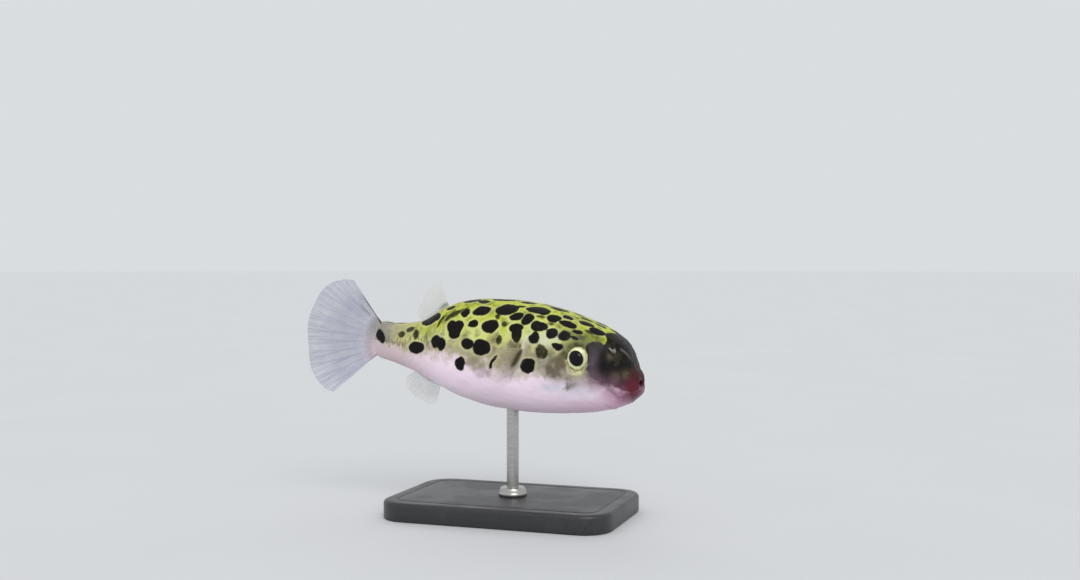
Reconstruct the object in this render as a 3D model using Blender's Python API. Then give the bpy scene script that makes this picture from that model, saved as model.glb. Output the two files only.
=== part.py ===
"""Life-size display model of a green spotted pufferfish, held over a small stand by one rod.

The fish is laid out level first, in its own frame: s runs back along the body from just before
the lips, z is the height over the body axis and y points to the fish's left. It is then tipped
nose down about the point over the rod and lifted to its height over the floor. In the finished
frame the head points along +X, +Z is up and the origin is on the floor, in the middle of the
part's box.
"""

import math

import bmesh
import bpy
import numpy as np
from mathutils import Matrix, Vector

MM = 0.001
GAP = 0.3 * MM  # between pieces that touch

# Body.
NOSE_DOWN = math.radians(8.5)
AXIS_HEIGHT = 33.0 * MM  # of the body axis over the floor, above the rod
ROD_S = 29.0 * MM  # how far back the rod stands
SNOUT_X = 39.9 * MM  # where s is 0, before the fish is tipped
AROUND = 36  # corners of a body ring
RING_STEPS = 2  # lengths between two named rings

# The named rings of the body, in mm: s, top, bottom, half width. They start at the back of the
# mouth, come forward inside it, roll over the lips and run back along the body to the tail.
RINGS = [
    (4.8, 0.20, -0.20, 0.4),
    (4.3, 1.10, -1.10, 1.6),
    (2.9, 1.25, -1.25, 1.9),
    (1.8, 1.10, -1.10, 1.9),
    (1.1, 0.60, -0.60, 1.8),
    (0.7, 1.20, -1.40, 2.3),
    (1.0, 2.20, -2.40, 2.9),
    (1.5, 2.80, -3.10, 3.3),
    (2.0, 3.35, -3.70, 3.6),
    (2.55, 4.60, -4.40, 4.3),
    (3.6, 6.80, -5.20, 5.3),
    (5.05, 8.35, -6.05, 6.4),
    (7.5, 9.60, -6.9, 7.4),
    (11.0, 10.8, -7.9, 8.5),
    (16.0, 12.0, -9.0, 9.4),
    (23.0, 12.9, -10.0, 9.9),
    (31.0, 12.8, -10.3, 9.5),
    (38.0, 11.8, -9.7, 8.3),
    (43.0, 10.2, -8.6, 6.9),
    (46.5, 8.1, -7.5, 5.7),
    (49.5, 5.6, -6.5, 4.6),
    (52.5, 4.3, -5.8, 3.7),
    (57.0, 3.5, -5.1, 2.8),
    (60.0, 3.3, -4.7, 1.9),
    (61.3, 2.5, -3.9, 1.0),
    (61.7, 0.7, -2.1, 0.35),
]
WIDEST_LEVEL = 0.44  # height of a ring's widest point, as a share of its height from below
CROWN_POWERS = (3.0, 2.2)  # of the upper half at the lips and behind; 2 is an ellipse, more is boxier
CROWN_EASES = 32.0 * MM  # how far back the upper half comes to the second power
BELLY_POWER = 2.3

# Cuts between the named parts of the body, as s.
LIP_CUT = 2.0 * MM
HEAD_CUT = 22.4 * MM
TAIL_CUT = 50.6 * MM

# Head details.
EYE_S = 12.6 * MM
EYE_Z = 3.6 * MM
EYE_RADIUS = 2.9 * MM
EYE_PROUD = 0.8 * MM  # out of the skin
NOSTRIL_S = 5.6 * MM
NOSTRIL_Z = 5.0 * MM
FLAP_HEIGHT = 1.9 * MM
FLAP_SHARES = (0.34, 0.30, 1.0)  # its thickness along the body, across it and up, of its height
FLAP_LEAN = math.radians(20)  # of each lobe away from the other
FLAP_SPREAD = 0.7 * MM  # how far that moves a lobe, for each radian
FLAP_SPLAY = math.radians(38)  # out from the head
FLAP_PROUD = 0.45 * MM
BEAK_S = 2.0 * MM
BEAK_WIDTH = 1.9 * MM
BEAK_THICK = 0.5 * MM
BEAK_BOW = 0.4 * MM  # how far its ends stand behind its middle
BITE = 0.12 * MM  # half of the gap between the plates
BEAK_HEIGHT = 0.62 * MM

# Fins. A fin's rays fan out from its root, a line inside the flesh whose two ends are given as
# (s, y, z) in mm. The angles in degrees are those of its first and last ray: 0 points straight
# back along the body and 90 straight up. The lengths in mm are those of its first, middle and
# last ray. out swings it out from the body's middle plane, and bow bends the tips of its rays
# further that way, as a share of their length.
FIN_THICK = 0.6 * MM
FIN_RAYS = 14
FIN_STEPS = 6
CORNER_SHARE = 0.14  # how much of its length a fin's first or last ray loses to the round corner
CORNER_POWER = 6  # more keeps the corner tighter
CAUDAL = {"root": ((60.4, 0, 2.6), (60.4, 0, -4.0)), "angles": (44, -47),
          "lengths": (14.2, 18.8, 16.4), "out": 0, "bow": 0.04}
DORSAL = {"root": ((44.4, 0, 8.0), (49.8, 0, 4.4)), "angles": (54, 22),
          "lengths": (8.4, 5.9, 3.8), "out": 0, "bow": 0.18}
ANAL = {"root": ((44.4, 0, -7.0), (50.2, 0, -5.4)), "angles": (-80, -40),
        "lengths": (6.2, 6.8, 4.8), "out": 0, "bow": 0.18}
PECTORAL = {"root": ((23.6, 8.6, 4.0), (24.2, 8.6, 0.2)), "angles": (2, -34),
            "lengths": (6.8, 7.7, 7.0), "out": 66, "bow": -0.12}

# Stand.
BASE_LENGTH = 50.0 * MM
BASE_WIDTH = 32.0 * MM
BASE_THICK = 4.0 * MM
BASE_CORNER = 6.0 * MM
BASE_EDGE = 0.6 * MM
COLLAR_RADIUS = 3.0 * MM
COLLAR_HEIGHT = 1.6 * MM
COLLAR_TAPER = 0.86  # of its radius at the top
ROD_RADIUS = 1.3 * MM
ROD_TOP = 30.0 * MM  # before the belly trims it


def clear_scene():
    for obj in list(bpy.data.objects):
        bpy.data.objects.remove(obj, do_unlink=True)


def material(name, colour, roughness, metallic=0.0):
    made = bpy.data.materials.new(name)
    made.use_nodes = True
    shader = made.node_tree.nodes["Principled BSDF"]
    shader.inputs["Base Color"].default_value = (*colour, 1.0)
    shader.inputs["Roughness"].default_value = roughness
    shader.inputs["Metallic"].default_value = metallic
    made.diffuse_color = (*colour, 1.0)
    return made


def posed(points):
    """Level points (s, y, z) in metres as finished ones: x forward, tipped nose down, lifted."""
    s, y, z = np.moveaxis(np.asarray(points, float), -1, 0)
    ahead = ROD_S - s
    x = SNOUT_X - ROD_S + ahead * math.cos(NOSE_DOWN) + z * math.sin(NOSE_DOWN)
    up = AXIS_HEIGHT - ahead * math.sin(NOSE_DOWN) + z * math.cos(NOSE_DOWN)
    return np.stack([x, y, up], axis=-1)


def add_object(name, mesh, look=None):
    obj = bpy.data.objects.new(name, mesh)
    bpy.context.scene.collection.objects.link(obj)
    if look is not None:
        mesh.materials.append(look)
    return obj


def add_mesh(name, points, faces, look=None):
    mesh = bpy.data.meshes.new(name)
    mesh.from_pydata(np.asarray(points).reshape(-1, 3).tolist(), [], faces)
    mesh.validate()
    return add_object(name, mesh, look)


def helper(obj):
    """A cutter: shown as wires and left out of the part."""
    obj.hide_render = True
    obj.display_type = "WIRE"
    return obj


def boolean(obj, other, operation):
    step = obj.modifiers.new(operation.title(), "BOOLEAN")
    step.operation = operation
    step.object = other
    step.solver = "EXACT"


def smooth(obj, angle_deg=50.0):
    obj.data.shade_smooth()
    obj.data.set_sharp_from_angle(angle=math.radians(angle_deg))


def smooth_rows(rows, steps):
    """Rows of numbers with steps - 1 more between each two, on a centripetal Catmull-Rom curve."""
    rows = np.asarray(rows, float)
    rows = np.vstack([2 * rows[0] - rows[1], rows, 2 * rows[-1] - rows[-2]])
    knots = np.concatenate([[0], np.cumsum(np.sqrt(np.linalg.norm(np.diff(rows, axis=0), axis=1)))])
    out = []
    for i in range(1, len(rows) - 2):
        t0, t1, t2, t3 = knots[i - 1 : i + 3]
        p0, p1, p2, p3 = rows[i - 1 : i + 3]
        for t in np.linspace(t1, t2, steps, endpoint=False):
            a1 = p0 + (p1 - p0) * (t - t0) / (t1 - t0)
            a2 = p1 + (p2 - p1) * (t - t1) / (t2 - t1)
            a3 = p2 + (p3 - p2) * (t - t2) / (t3 - t2)
            b1 = a1 + (a2 - a1) * (t - t0) / (t2 - t0)
            b2 = a2 + (a3 - a2) * (t - t1) / (t3 - t1)
            out.append(b1 + (b2 - b1) * (t - t1) / (t2 - t1))
    out.append(rows[-2])
    return np.array(out)


def crown_power(s):
    return np.interp(s, (0, CROWN_EASES), CROWN_POWERS)


def ring_points(row, grow):
    """One body ring in the level frame: two half superellipses that meet at the widest level."""
    s, top, bottom, half_width = (value * MM for value in row)
    top, bottom, half_width = top + grow, bottom - grow, half_width + grow
    widest = bottom + (top - bottom) * WIDEST_LEVEL
    angle = np.arange(AROUND) * 2 * math.pi / AROUND
    side, up = np.sin(angle), np.cos(angle)
    rise = np.where(up >= 0, top - widest, widest - bottom)
    power = np.where(up >= 0, crown_power(s), BELLY_POWER)
    reach = (np.abs(side / half_width) ** power + np.abs(up / rise) ** power) ** (-1 / power)
    return np.stack([np.full(AROUND, s), reach * side, widest + reach * up], axis=-1)


def side_at(s, z):
    """How far out the skin is at a place on the body's side, in the level frame."""
    rows = smooth_rows(RINGS, RING_STEPS) * MM
    rows = rows[np.argmin(rows[:, 0]) :]
    top, bottom, half_width = (np.interp(s, rows[:, 0], rows[:, i]) for i in (1, 2, 3))
    widest = bottom + (top - bottom) * WIDEST_LEVEL
    rise, power = (top - widest, crown_power(s)) if z >= widest else (widest - bottom, BELLY_POWER)
    return half_width * (1 - (abs(z - widest) / rise) ** power) ** (1 / power)


def add_body(name, grow=0.0, look=None):
    """The whole body as one closed skin, from the back of the mouth to the end of the tail."""
    rows = smooth_rows(RINGS, RING_STEPS)
    rings = np.array([ring_points(row, grow) for row in rows])
    count = len(rings)
    faces = []
    for i in range(count - 1):
        for j in range(AROUND):
            k = (j + 1) % AROUND
            faces.append((i * AROUND + j, i * AROUND + k, (i + 1) * AROUND + k, (i + 1) * AROUND + j))
    faces.append(tuple(range(AROUND))[::-1])
    faces.append(tuple((count - 1) * AROUND + j for j in range(AROUND)))
    obj = add_mesh(name, posed(rings), faces, look)
    recalculate(obj)
    return obj


def recalculate(obj):
    shape = bmesh.new()
    shape.from_mesh(obj.data)
    bmesh.ops.recalc_face_normals(shape, faces=shape.faces)
    shape.to_mesh(obj.data)
    shape.free()


def add_level_box(name, low, high):
    """A cutter between two corners given as (s, y, z) in the level frame."""
    corners = [(s, y, z) for s in (low[0], high[0]) for y in (low[1], high[1]) for z in (low[2], high[2])]
    faces = [(0, 1, 3, 2), (4, 6, 7, 5), (0, 4, 5, 1), (2, 3, 7, 6), (0, 2, 6, 4), (1, 5, 7, 3)]
    obj = helper(add_mesh(name, posed(corners), faces))
    recalculate(obj)
    return obj


def add_body_length(name, s_from, s_to, look, z_from=-40 * MM, z_to=40 * MM):
    """One named length of the body, with half of the thin cut left off at each end."""
    obj = add_body(name, look=look)
    low = (s_from + GAP / 2, -40 * MM, z_from + GAP / 2)
    high = (s_to - GAP / 2, 40 * MM, z_to - GAP / 2)
    boolean(obj, add_level_box(name + "_length", low, high), "INTERSECT")
    return obj


def add_ball(name, centre, radius, look=None, segments=20, rings=12):
    mesh = bpy.data.meshes.new(name)
    shape = bmesh.new()
    bmesh.ops.create_uvsphere(shape, u_segments=segments, v_segments=rings, radius=radius)
    shape.to_mesh(mesh)
    shape.free()
    obj = add_object(name, mesh, look)
    obj.location = Vector(posed(centre))
    return obj


def make_body(flesh, lip_look):
    """Head, trunk, tail stalk and the two lips, and the eye sockets sunk in the head."""
    far = 80 * MM
    add_body_length("upper_lip", -far, LIP_CUT, lip_look, z_from=0)
    add_body_length("lower_lip", -far, LIP_CUT, lip_look, z_to=0)
    head = add_body_length("head", LIP_CUT, HEAD_CUT, flesh)
    add_body_length("trunk", HEAD_CUT, TAIL_CUT, flesh)
    add_body_length("tail_stalk", TAIL_CUT, far, flesh)
    for side, way in (("left", 1), ("right", -1)):
        socket = helper(add_ball("eye_socket_" + side, eye_centre(way), EYE_RADIUS + GAP))
        boolean(head, socket, "DIFFERENCE")


def eye_centre(way):
    """The middle of an eyeball, so far in that it stands only a little proud of the skin."""
    return EYE_S, way * (side_at(EYE_S, EYE_Z) + EYE_PROUD - EYE_RADIUS), EYE_Z


def make_eyes(look):
    for side, way in (("left", 1), ("right", -1)):
        eye = add_ball("eye_" + side, eye_centre(way), EYE_RADIUS, look)
        smooth(eye)


def add_lobe(name, root, way, lean, look):
    """One lobe of a nasal flap: a flattened egg that stands out of the skin and leans along it."""
    mesh = bpy.data.meshes.new(name)
    shape = bmesh.new()
    bmesh.ops.create_uvsphere(shape, u_segments=10, v_segments=8, radius=FLAP_HEIGHT / 2)
    squash = Matrix.Diagonal((*FLAP_SHARES, 1.0))
    bmesh.ops.transform(shape, matrix=Matrix.Rotation(lean, 4, "Y") @ squash, verts=shape.verts)
    shape.to_mesh(mesh)
    shape.free()
    lobe = add_object(name, mesh, look)
    lobe.location = root + Vector((lean * FLAP_SPREAD, way * FLAP_PROUD, FLAP_PROUD))
    lobe.rotation_euler = (-way * FLAP_SPLAY, NOSE_DOWN, 0)
    return lobe


def make_nostrils(look, around_body):
    """A nasal flap on each side of the snout: two short lobes on one root."""
    for side, way in (("left", 1), ("right", -1)):
        name = "nostril_" + side
        root = Vector(posed((NOSTRIL_S, way * side_at(NOSTRIL_S, NOSTRIL_Z), NOSTRIL_Z)))
        flap = add_lobe(name, root, way, FLAP_LEAN, look)
        boolean(flap, helper(add_lobe(name + "_second_lobe", root, way, -FLAP_LEAN, look)), "UNION")
        boolean(flap, around_body, "DIFFERENCE")


def make_beak(look):
    """The fused tooth plates, seen between the parted lips."""
    for name, low, high in (("beak_upper", BITE, BITE + BEAK_HEIGHT), ("beak_lower", -BITE - BEAK_HEIGHT, -BITE)):
        rungs = []
        for across in np.linspace(-1, 1, 9):
            front = BEAK_S + BEAK_BOW * across**2
            back = front + BEAK_THICK
            y = across * BEAK_WIDTH / 2
            rungs.append([(front, y, low), (back, y, low), (back, y, high), (front, y, high)])
        faces = [
            (i * 4 + j, i * 4 + (j + 1) % 4, i * 4 + 4 + (j + 1) % 4, i * 4 + 4 + j)
            for i in range(len(rungs) - 1)
            for j in range(4)
        ]
        faces += [(0, 1, 2, 3), tuple(4 * len(rungs) - 4 + j for j in range(4))]
        obj = add_mesh(name, posed(rungs), faces, look)
        recalculate(obj)


def fin_grid(root, angles, lengths, out, bow, way=1):
    """The middle surface of a fin, as a grid of points of its rays in the level frame."""
    across = np.linspace(0, 1, FIN_RAYS)[:, None]
    along = np.linspace(0, 1, FIN_STEPS)[None, :]
    mirror = np.array([1, way, 1])
    start, end = (np.array(point) * MM * mirror for point in root)
    swing = math.radians(out) * way
    back = np.array([math.cos(swing), math.sin(swing), 0.0])
    aside = np.array([-math.sin(swing), math.cos(swing), 0.0]) * way
    up = np.array([0.0, 0.0, 1.0])
    angle = np.radians(angles[0] + (angles[1] - angles[0]) * across)
    first, middle, last = (length * MM for length in lengths)
    arch = 4 * across * (1 - across)
    length = first + (last - first) * across + (middle - (first + last) / 2) * arch
    length = length * (1 - CORNER_SHARE * np.abs(2 * across - 1) ** CORNER_POWER)
    return (
        (start + (end - start) * across)[:, None, :]
        + (length * along * np.cos(angle))[..., None] * back
        + (length * along * np.sin(angle))[..., None] * up
        + (bow * length * along**2)[..., None] * aside
    )


def add_fin(name, fin, look, around_body, way=1):
    """A thin fin that meets the skin with a small gap. way -1 gives the one on the right side."""
    faces = [
        (i * FIN_STEPS + j, i * FIN_STEPS + j + 1, (i + 1) * FIN_STEPS + j + 1, (i + 1) * FIN_STEPS + j)
        for i in range(FIN_RAYS - 1)
        for j in range(FIN_STEPS - 1)
    ]
    obj = add_mesh(name, posed(fin_grid(**fin, way=way)), faces, look)
    wall = obj.modifiers.new("Thickness", "SOLIDIFY")
    wall.thickness = FIN_THICK
    wall.offset = 0
    boolean(obj, around_body, "DIFFERENCE")


def make_fins(look, around_body):
    add_fin("caudal_fin", CAUDAL, look, around_body)
    add_fin("dorsal_fin", DORSAL, look, around_body)
    add_fin("anal_fin", ANAL, look, around_body)
    add_fin("pectoral_fin_left", PECTORAL, look, around_body)
    add_fin("pectoral_fin_right", PECTORAL, look, around_body, way=-1)


def rounded_plate(length, width, corner, bottom, top, steps=8):
    """A plate with round corners, as points and faces."""
    outline = []
    for quarter in range(4):
        turn = quarter * math.pi / 2
        sign_x = 1 if quarter in (0, 3) else -1
        sign_y = 1 if quarter in (0, 1) else -1
        centre = (sign_x * (length / 2 - corner), sign_y * (width / 2 - corner))
        for step in range(steps + 1):
            angle = turn + step * math.pi / 2 / steps
            outline.append((centre[0] + corner * math.cos(angle), centre[1] + corner * math.sin(angle)))
    count = len(outline)
    points = [(x, y, z) for z in (bottom, top) for x, y in outline]
    faces = [tuple(range(count))[::-1], tuple(range(count, 2 * count))]
    faces += [(i, (i + 1) % count, count + (i + 1) % count, count + i) for i in range(count)]
    return points, faces


def add_cylinder(name, radius, bottom, top, look, x, segments=32, taper=1.0):
    mesh = bpy.data.meshes.new(name)
    shape = bmesh.new()
    bmesh.ops.create_cone(shape, cap_ends=True, segments=segments, radius1=radius, radius2=radius * taper,
                          depth=top - bottom, matrix=Matrix.Translation((0, 0, (top + bottom) / 2)))
    shape.to_mesh(mesh)
    shape.free()
    obj = add_object(name, mesh, look)
    obj.location = (x, 0, 0)
    return obj


def make_stand(base_look, metal_look, around_body):
    """A flat base, a low collar on it and the rod that carries the fish."""
    rod_x = SNOUT_X - ROD_S
    points, faces = rounded_plate(BASE_LENGTH, BASE_WIDTH, BASE_CORNER, 0, BASE_THICK)
    base = add_mesh("stand_base", points, faces, base_look)
    base.location = (rod_x, 0, 0)
    edge = base.modifiers.new("Edge", "BEVEL")
    edge.width = BASE_EDGE
    edge.segments = 2
    edge.limit_method = "ANGLE"
    edge.angle_limit = math.radians(60)
    collar_top = BASE_THICK + GAP + COLLAR_HEIGHT
    collar = add_cylinder("stand_collar", COLLAR_RADIUS, BASE_THICK + GAP, collar_top, metal_look,
                          rod_x, taper=COLLAR_TAPER)
    smooth(collar)
    rod = add_cylinder("stand_rod", ROD_RADIUS, collar_top + GAP, ROD_TOP, metal_look, rod_x, segments=20)
    boolean(rod, around_body, "DIFFERENCE")
    smooth(rod)


def main():
    clear_scene()
    flesh = material("flesh", (0.55, 0.58, 0.20), 0.45)
    lips = material("lips", (0.45, 0.20, 0.22), 0.40)
    eye = material("eye", (0.70, 0.72, 0.35), 0.08)
    beak = material("beak", (0.85, 0.82, 0.70), 0.30)
    membrane = material("fin", (0.55, 0.56, 0.62), 0.40)
    base = material("stand_base", (0.13, 0.13, 0.14), 0.50)
    metal = material("stand_metal", (0.60, 0.60, 0.61), 0.32, 1.0)
    around_body = helper(add_body("around_body", grow=GAP))
    make_body(flesh, lips)
    make_eyes(eye)
    make_nostrils(flesh, around_body)
    make_beak(beak)
    make_fins(membrane, around_body)
    make_stand(base, metal, around_body)


if __name__ == "__main__":
    main()
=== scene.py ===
"""The looks of a life-size green spotted pufferfish on a small display stand.

The fish is laid out level first, in millimetres: s runs back from the tip of the lips, y points to
the fish's left and z is the height over the body axis. level_to_room tips it nose down about the
rod and lifts it over the floor, in metres, with the head along +X.
"""

import math
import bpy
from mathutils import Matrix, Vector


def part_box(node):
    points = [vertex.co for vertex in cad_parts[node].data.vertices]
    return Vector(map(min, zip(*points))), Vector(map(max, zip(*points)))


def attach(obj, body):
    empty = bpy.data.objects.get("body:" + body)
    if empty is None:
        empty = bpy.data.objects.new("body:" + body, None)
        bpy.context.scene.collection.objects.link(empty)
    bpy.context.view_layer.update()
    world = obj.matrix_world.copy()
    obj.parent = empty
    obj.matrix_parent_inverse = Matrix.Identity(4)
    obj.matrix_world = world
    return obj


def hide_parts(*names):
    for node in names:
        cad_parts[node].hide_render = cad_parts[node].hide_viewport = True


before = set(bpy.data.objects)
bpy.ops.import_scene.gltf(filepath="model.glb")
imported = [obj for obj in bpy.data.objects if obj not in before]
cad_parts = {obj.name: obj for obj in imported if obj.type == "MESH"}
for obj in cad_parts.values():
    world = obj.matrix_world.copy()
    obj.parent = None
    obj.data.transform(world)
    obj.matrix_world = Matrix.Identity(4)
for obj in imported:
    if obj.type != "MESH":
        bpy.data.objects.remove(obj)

from types import SimpleNamespace

import bpy
import numpy as np
from bpy.props import FloatProperty, FloatVectorProperty, IntProperty, PointerProperty
from mathutils import Matrix, Vector

bl_info = {
    "name": "Spotted Pufferfish",
    "version": (1, 0, 0),
    "blender": (4, 5, 0),
    "location": "3D View > Sidebar > Pufferfish",
    "description": "Builds the skin, eyes, fins and stand of a pufferfish display model",
    "category": "Add Mesh",
}

MM = 0.001
SIDES = ((1, "left"), (-1, "right"))  # sign of y, name
FLOOR_RADIUS = 6.0  # metres
FLOOR_ROWS, FLOOR_COLUMNS = 24, 96
AIM_POINT = (0.0018, 0.0, 0.033)  # metres
AIR_STRENGTH = 0.84
BASE_CORNER = 6.0
BASE_EDGE = 0.8  # mm, radius of the upper edge
FRAME_SHAPE = 580 / 1080  # height over width
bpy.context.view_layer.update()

# Pose and body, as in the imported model.
NOSE_DOWN = math.radians(8.5)
AXIS_HEIGHT = 33.0
ROD_S = 29.0
SNOUT_X = 39.9
RINGS = [
    (4.8, 0.20, -0.20, 0.4),
    (4.3, 1.10, -1.10, 1.6),
    (2.9, 1.25, -1.25, 1.9),
    (1.8, 1.10, -1.10, 1.9),
    (1.1, 0.60, -0.60, 1.8),
    (0.7, 1.20, -1.40, 2.3),
    (1.0, 2.20, -2.40, 2.9),
    (1.5, 2.80, -3.10, 3.3),
    (2.0, 3.35, -3.70, 3.6),
    (2.55, 4.60, -4.40, 4.3),
    (3.6, 6.80, -5.20, 5.3),
    (5.05, 8.35, -6.05, 6.4),
    (7.5, 9.60, -6.9, 7.4),
    (11.0, 10.8, -7.9, 8.5),
    (16.0, 12.0, -9.0, 9.4),
    (23.0, 12.9, -10.0, 9.9),
    (31.0, 12.8, -10.3, 9.5),
    (38.0, 11.8, -9.7, 8.3),
    (43.0, 10.2, -8.6, 6.9),
    (46.5, 8.1, -7.5, 5.7),
    (49.5, 5.6, -6.5, 4.6),
    (52.5, 4.3, -5.8, 3.7),
    (57.0, 3.5, -5.1, 2.8),
    (60.0, 3.3, -4.7, 1.9),
    (61.3, 2.5, -3.9, 1.0),
    (61.7, 0.7, -2.1, 0.35),
]
WIDEST_LEVEL = 0.44
CROWN_POWERS = (3.0, 2.2)
CROWN_EASES = 32.0
BELLY_POWER = 2.3
RING_STEPS = 24  # rows worked out between two of RINGS

EYE_S = 12.6
EYE_DEGREES = 70  # round from the top
EYE_TILT = (0.6, 0.10)  # how far an eye's axis turns sideways and up from the skin's own
LID_REST = 2.3  # mm, half width of the opening that the lids' curves are drawn for
LID_REACH = 4.2  # mm from the eye's middle to which the lids shape the skin
EYE_ROWS, EYE_COLUMNS = 96, 144
LOBE_ROWS, LOBE_COLUMNS = 30, 28
BEAK_ROWS, BEAK_COLUMNS = 61, 32
PUPIL_LEAN = math.radians(38)
PUPIL_BACK = 0.12  # mm that its middle lies behind the eyeball's
PUPIL_ABOVE = 0.04
PUPIL_SHARES = (0.91, 1.06)  # its half width and half height, as shares of its radius

# Distance in mm between rows of the skin, at places along it.
ROW_PLACES = (0.0, 2.6, 5.2, 9.0, 10.0, 15.5, 17.0, 22.0, 23.5, 26.5, 29.0, 61.7)
ROW_STEPS = (0.14, 0.17, 0.22, 0.20, 0.16, 0.16, 0.22, 0.24, 0.19, 0.19, 0.32, 0.32)

FINS = {
    "caudal_fin": {"root": ((60.4, 0, 2.6), (60.4, 0, -4.0)), "angles": (44, -47),
                   "lengths": (14.2, 18.8, 16.4), "out": 0, "bow": 0.04},
    "dorsal_fin": {"root": ((44.4, 0, 8.0), (49.8, 0, 4.4)), "angles": (54, 22),
                   "lengths": (8.4, 5.9, 3.8), "out": 0, "bow": 0.18},
    "anal_fin": {"root": ((44.4, 0, -7.0), (50.2, 0, -5.4)), "angles": (-80, -40),
                 "lengths": (6.2, 6.8, 4.8), "out": 0, "bow": 0.18},
    "pectoral_fin": {"root": ((23.6, 8.6, 4.0), (24.2, 8.6, 0.2)), "angles": (2, -34),
                     "lengths": (6.8, 7.7, 7.0), "out": 66, "bow": -0.12},
}
CORNER_SHARE = 0.14
CORNER_POWER = 6
RAY_EXTRA = 0.11  # light stopped by a ray, over what the membrane stops
ROOT_SWELL = {"caudal_fin": 0.72, "dorsal_fin": 0.32, "anal_fin": 0.32, "pectoral_fin": 0.32}  # mm
FIN_FORMS = {  # rays, columns, rows, ripple height in mm, waves across
    "caudal_fin": (11, 308, 72, 0.55, 1.4),
    "dorsal_fin": (13, 156, 40, 0.25, 1.1),
    "anal_fin": (11, 144, 36, 0.22, 1.2),
    "pectoral_fin": (17, 204, 40, 0.30, 1.6),
}

# Black marks of one side: s, degrees round from the top, half length and half height in mm, and
# degrees that the front end is turned up. Marks with lobes are two or three rows.
BLACK_MARKS = [
    (59.8, 57, 1.15, 1.7, 46), (49.6, 81, 2.15, 1.2, 0), (47.6, 24, 2.7, 1.5, -14),
    (43.5, 17, 1.2, 0.8, 6), (44.6, 71, 1.35, 1.45, 0), (43.1, 74, 1.25, 1.4, 0),
    (41.2, 48, 1.25, 1.3, 0), (39.6, 48, 1.15, 1.25, 0), (40.3, 56, 1.45, 1.4, 0),
    (38.9, 31, 1.1, 1.0, 15), (36.3, 46, 1.15, 1.0, 20), (36.6, 70, 1.4, 1.1, 0),
    (35.3, 29, 1.85, 1.45, 14), (36.2, 14, 1.35, 0.9, 0), (32.2, 47, 2.0, 1.3, 5),
    (33.1, 72, 1.9, 1.6, 0), (37.5, 99, 1.15, 1.4, 25), (29.8, 26, 2.45, 1.6, 16),
    (24.5, 36, 1.25, 1.35, 0), (26.2, 47, 1.45, 1.1, 0), (25.7, 54, 1.15, 1.35, 0),
    (23.2, 22, 2.45, 1.35, -4), (21.6, 42, 1.65, 1.15, 0), (19.2, 29, 1.5, 1.05, 0),
    (16.7, 22, 1.25, 0.75, 0), (15.9, 32, 1.7, 0.85, 0), (15.8, 46, 1.25, 1.1, 0),
    (12.8, 20, 1.55, 0.8, 0), (10.1, 27, 1.7, 0.95, 0), (16.7, 59, 1.15, 0.8, 0),
    # The thin marks at 29.8 and 30.2 mm, behind the side fin's rear edge, are partly a spot and partly
    # painted shade between fin and body.
    (21.8, 54, 0.85, 1.2, 0), (22.1, 86, 1.55, 1.4, 0), (29.8, 84, 0.28, 1.2, -30),
    (30.2, 92, 0.32, 0.7, 0), (18.6, 46, 1.1, 1.1, 0), (27.2, 34, 1.45, 0.9, 30),
    (13.5, 38, 1.1, 0.5, 0), (13.6, 46, 0.85, 0.4, 0), (27.1, 20, 0.95, 0.45, 0),
]
# Black marks that lie on the middle line of the back or close to it, given once.
CROWN_MARKS = [
    (58.3, 0, 0.8, 0.7, 0), (55.6, 0, 1.3, 1.0, 0), (39.3, -9, 1.8, 1.1, 6), (41.6, 6, 1.2, 1.0, 0),
    (32.3, -7, 2.3, 1.1, 0), (28.2, 8, 1.7, 1.1, 10), (26.6, -7, 1.7, 0.9, 0), (23.2, 4, 1.4, 0.9, 0),
    (19.6, -8, 1.8, 1.1, 0), (20.3, 9, 1.3, 0.9, 0), (16.0, 3, 1.2, 0.8, 0), (13.4, -8, 1.5, 0.8, 0),
    (10.8, 6, 1.2, 0.8, 0), (10.4, -8, 1.2, 0.7, 0), (35.6, 5, 1.1, 0.8, 0), (30.0, 1, 0.9, 0.7, 0),
]
# Olive marks of one side, in the same form.
OLIVE_MARKS = [
    (54.3, 43, 0.75, 0.75, 0), (52.3, 32, 1.0, 0.8, 0), (44.5, 38, 1.5, 0.42, 50), (42.9, 34, 1.2, 0.4, 44),
    (41.4, 31, 1.5, 0.55, 28), (19.7, 67, 1.45, 1.05, -30), (29.4, 61, 0.55, 0.95, 0),
    (31.2, 36, 0.6, 0.75, 20), (28.9, 44, 0.6, 0.6, 0), (50.4, 50, 0.7, 1.0, 0), (19.5, 37, 0.75, 0.28, 0),
    (21.9, 31, 0.9, 0.3, 0), (24.6, 66, 0.25, 0.8, 0), (11.5, 33, 0.9, 0.5, 0), (39.6, 25, 1.2, 0.28, 20),
]
# Weak clouds of one side: greenish on the back, brown and grey lower down.
FAINT_MARKS = [
    (32.4, 32, 0.9, 0.8, 0), (32.3, 101, 2.0, 1.2, 0), (30.6, 60, 1.5, 1.2, 0), (46.5, 52, 1.3, 1.3, 0),
    (15.6, 74, 1.7, 1.9, 0), (17.0, 87, 1.7, 1.3, 0), (13.4, 103, 0.45, 1.0, 0),
    (38.0, 60, 1.2, 0.9, 0), (34.6, 92, 1.6, 0.9, 0), (14.2, 55, 1.2, 0.9, 0), (38.4, 20, 1.0, 0.8, 0),
    (24.9, 28, 0.8, 0.5, 0), (17.6, 36, 0.7, 0.5, 0), (17.2, 67, 1.3, 0.9, 10),
]

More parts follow.
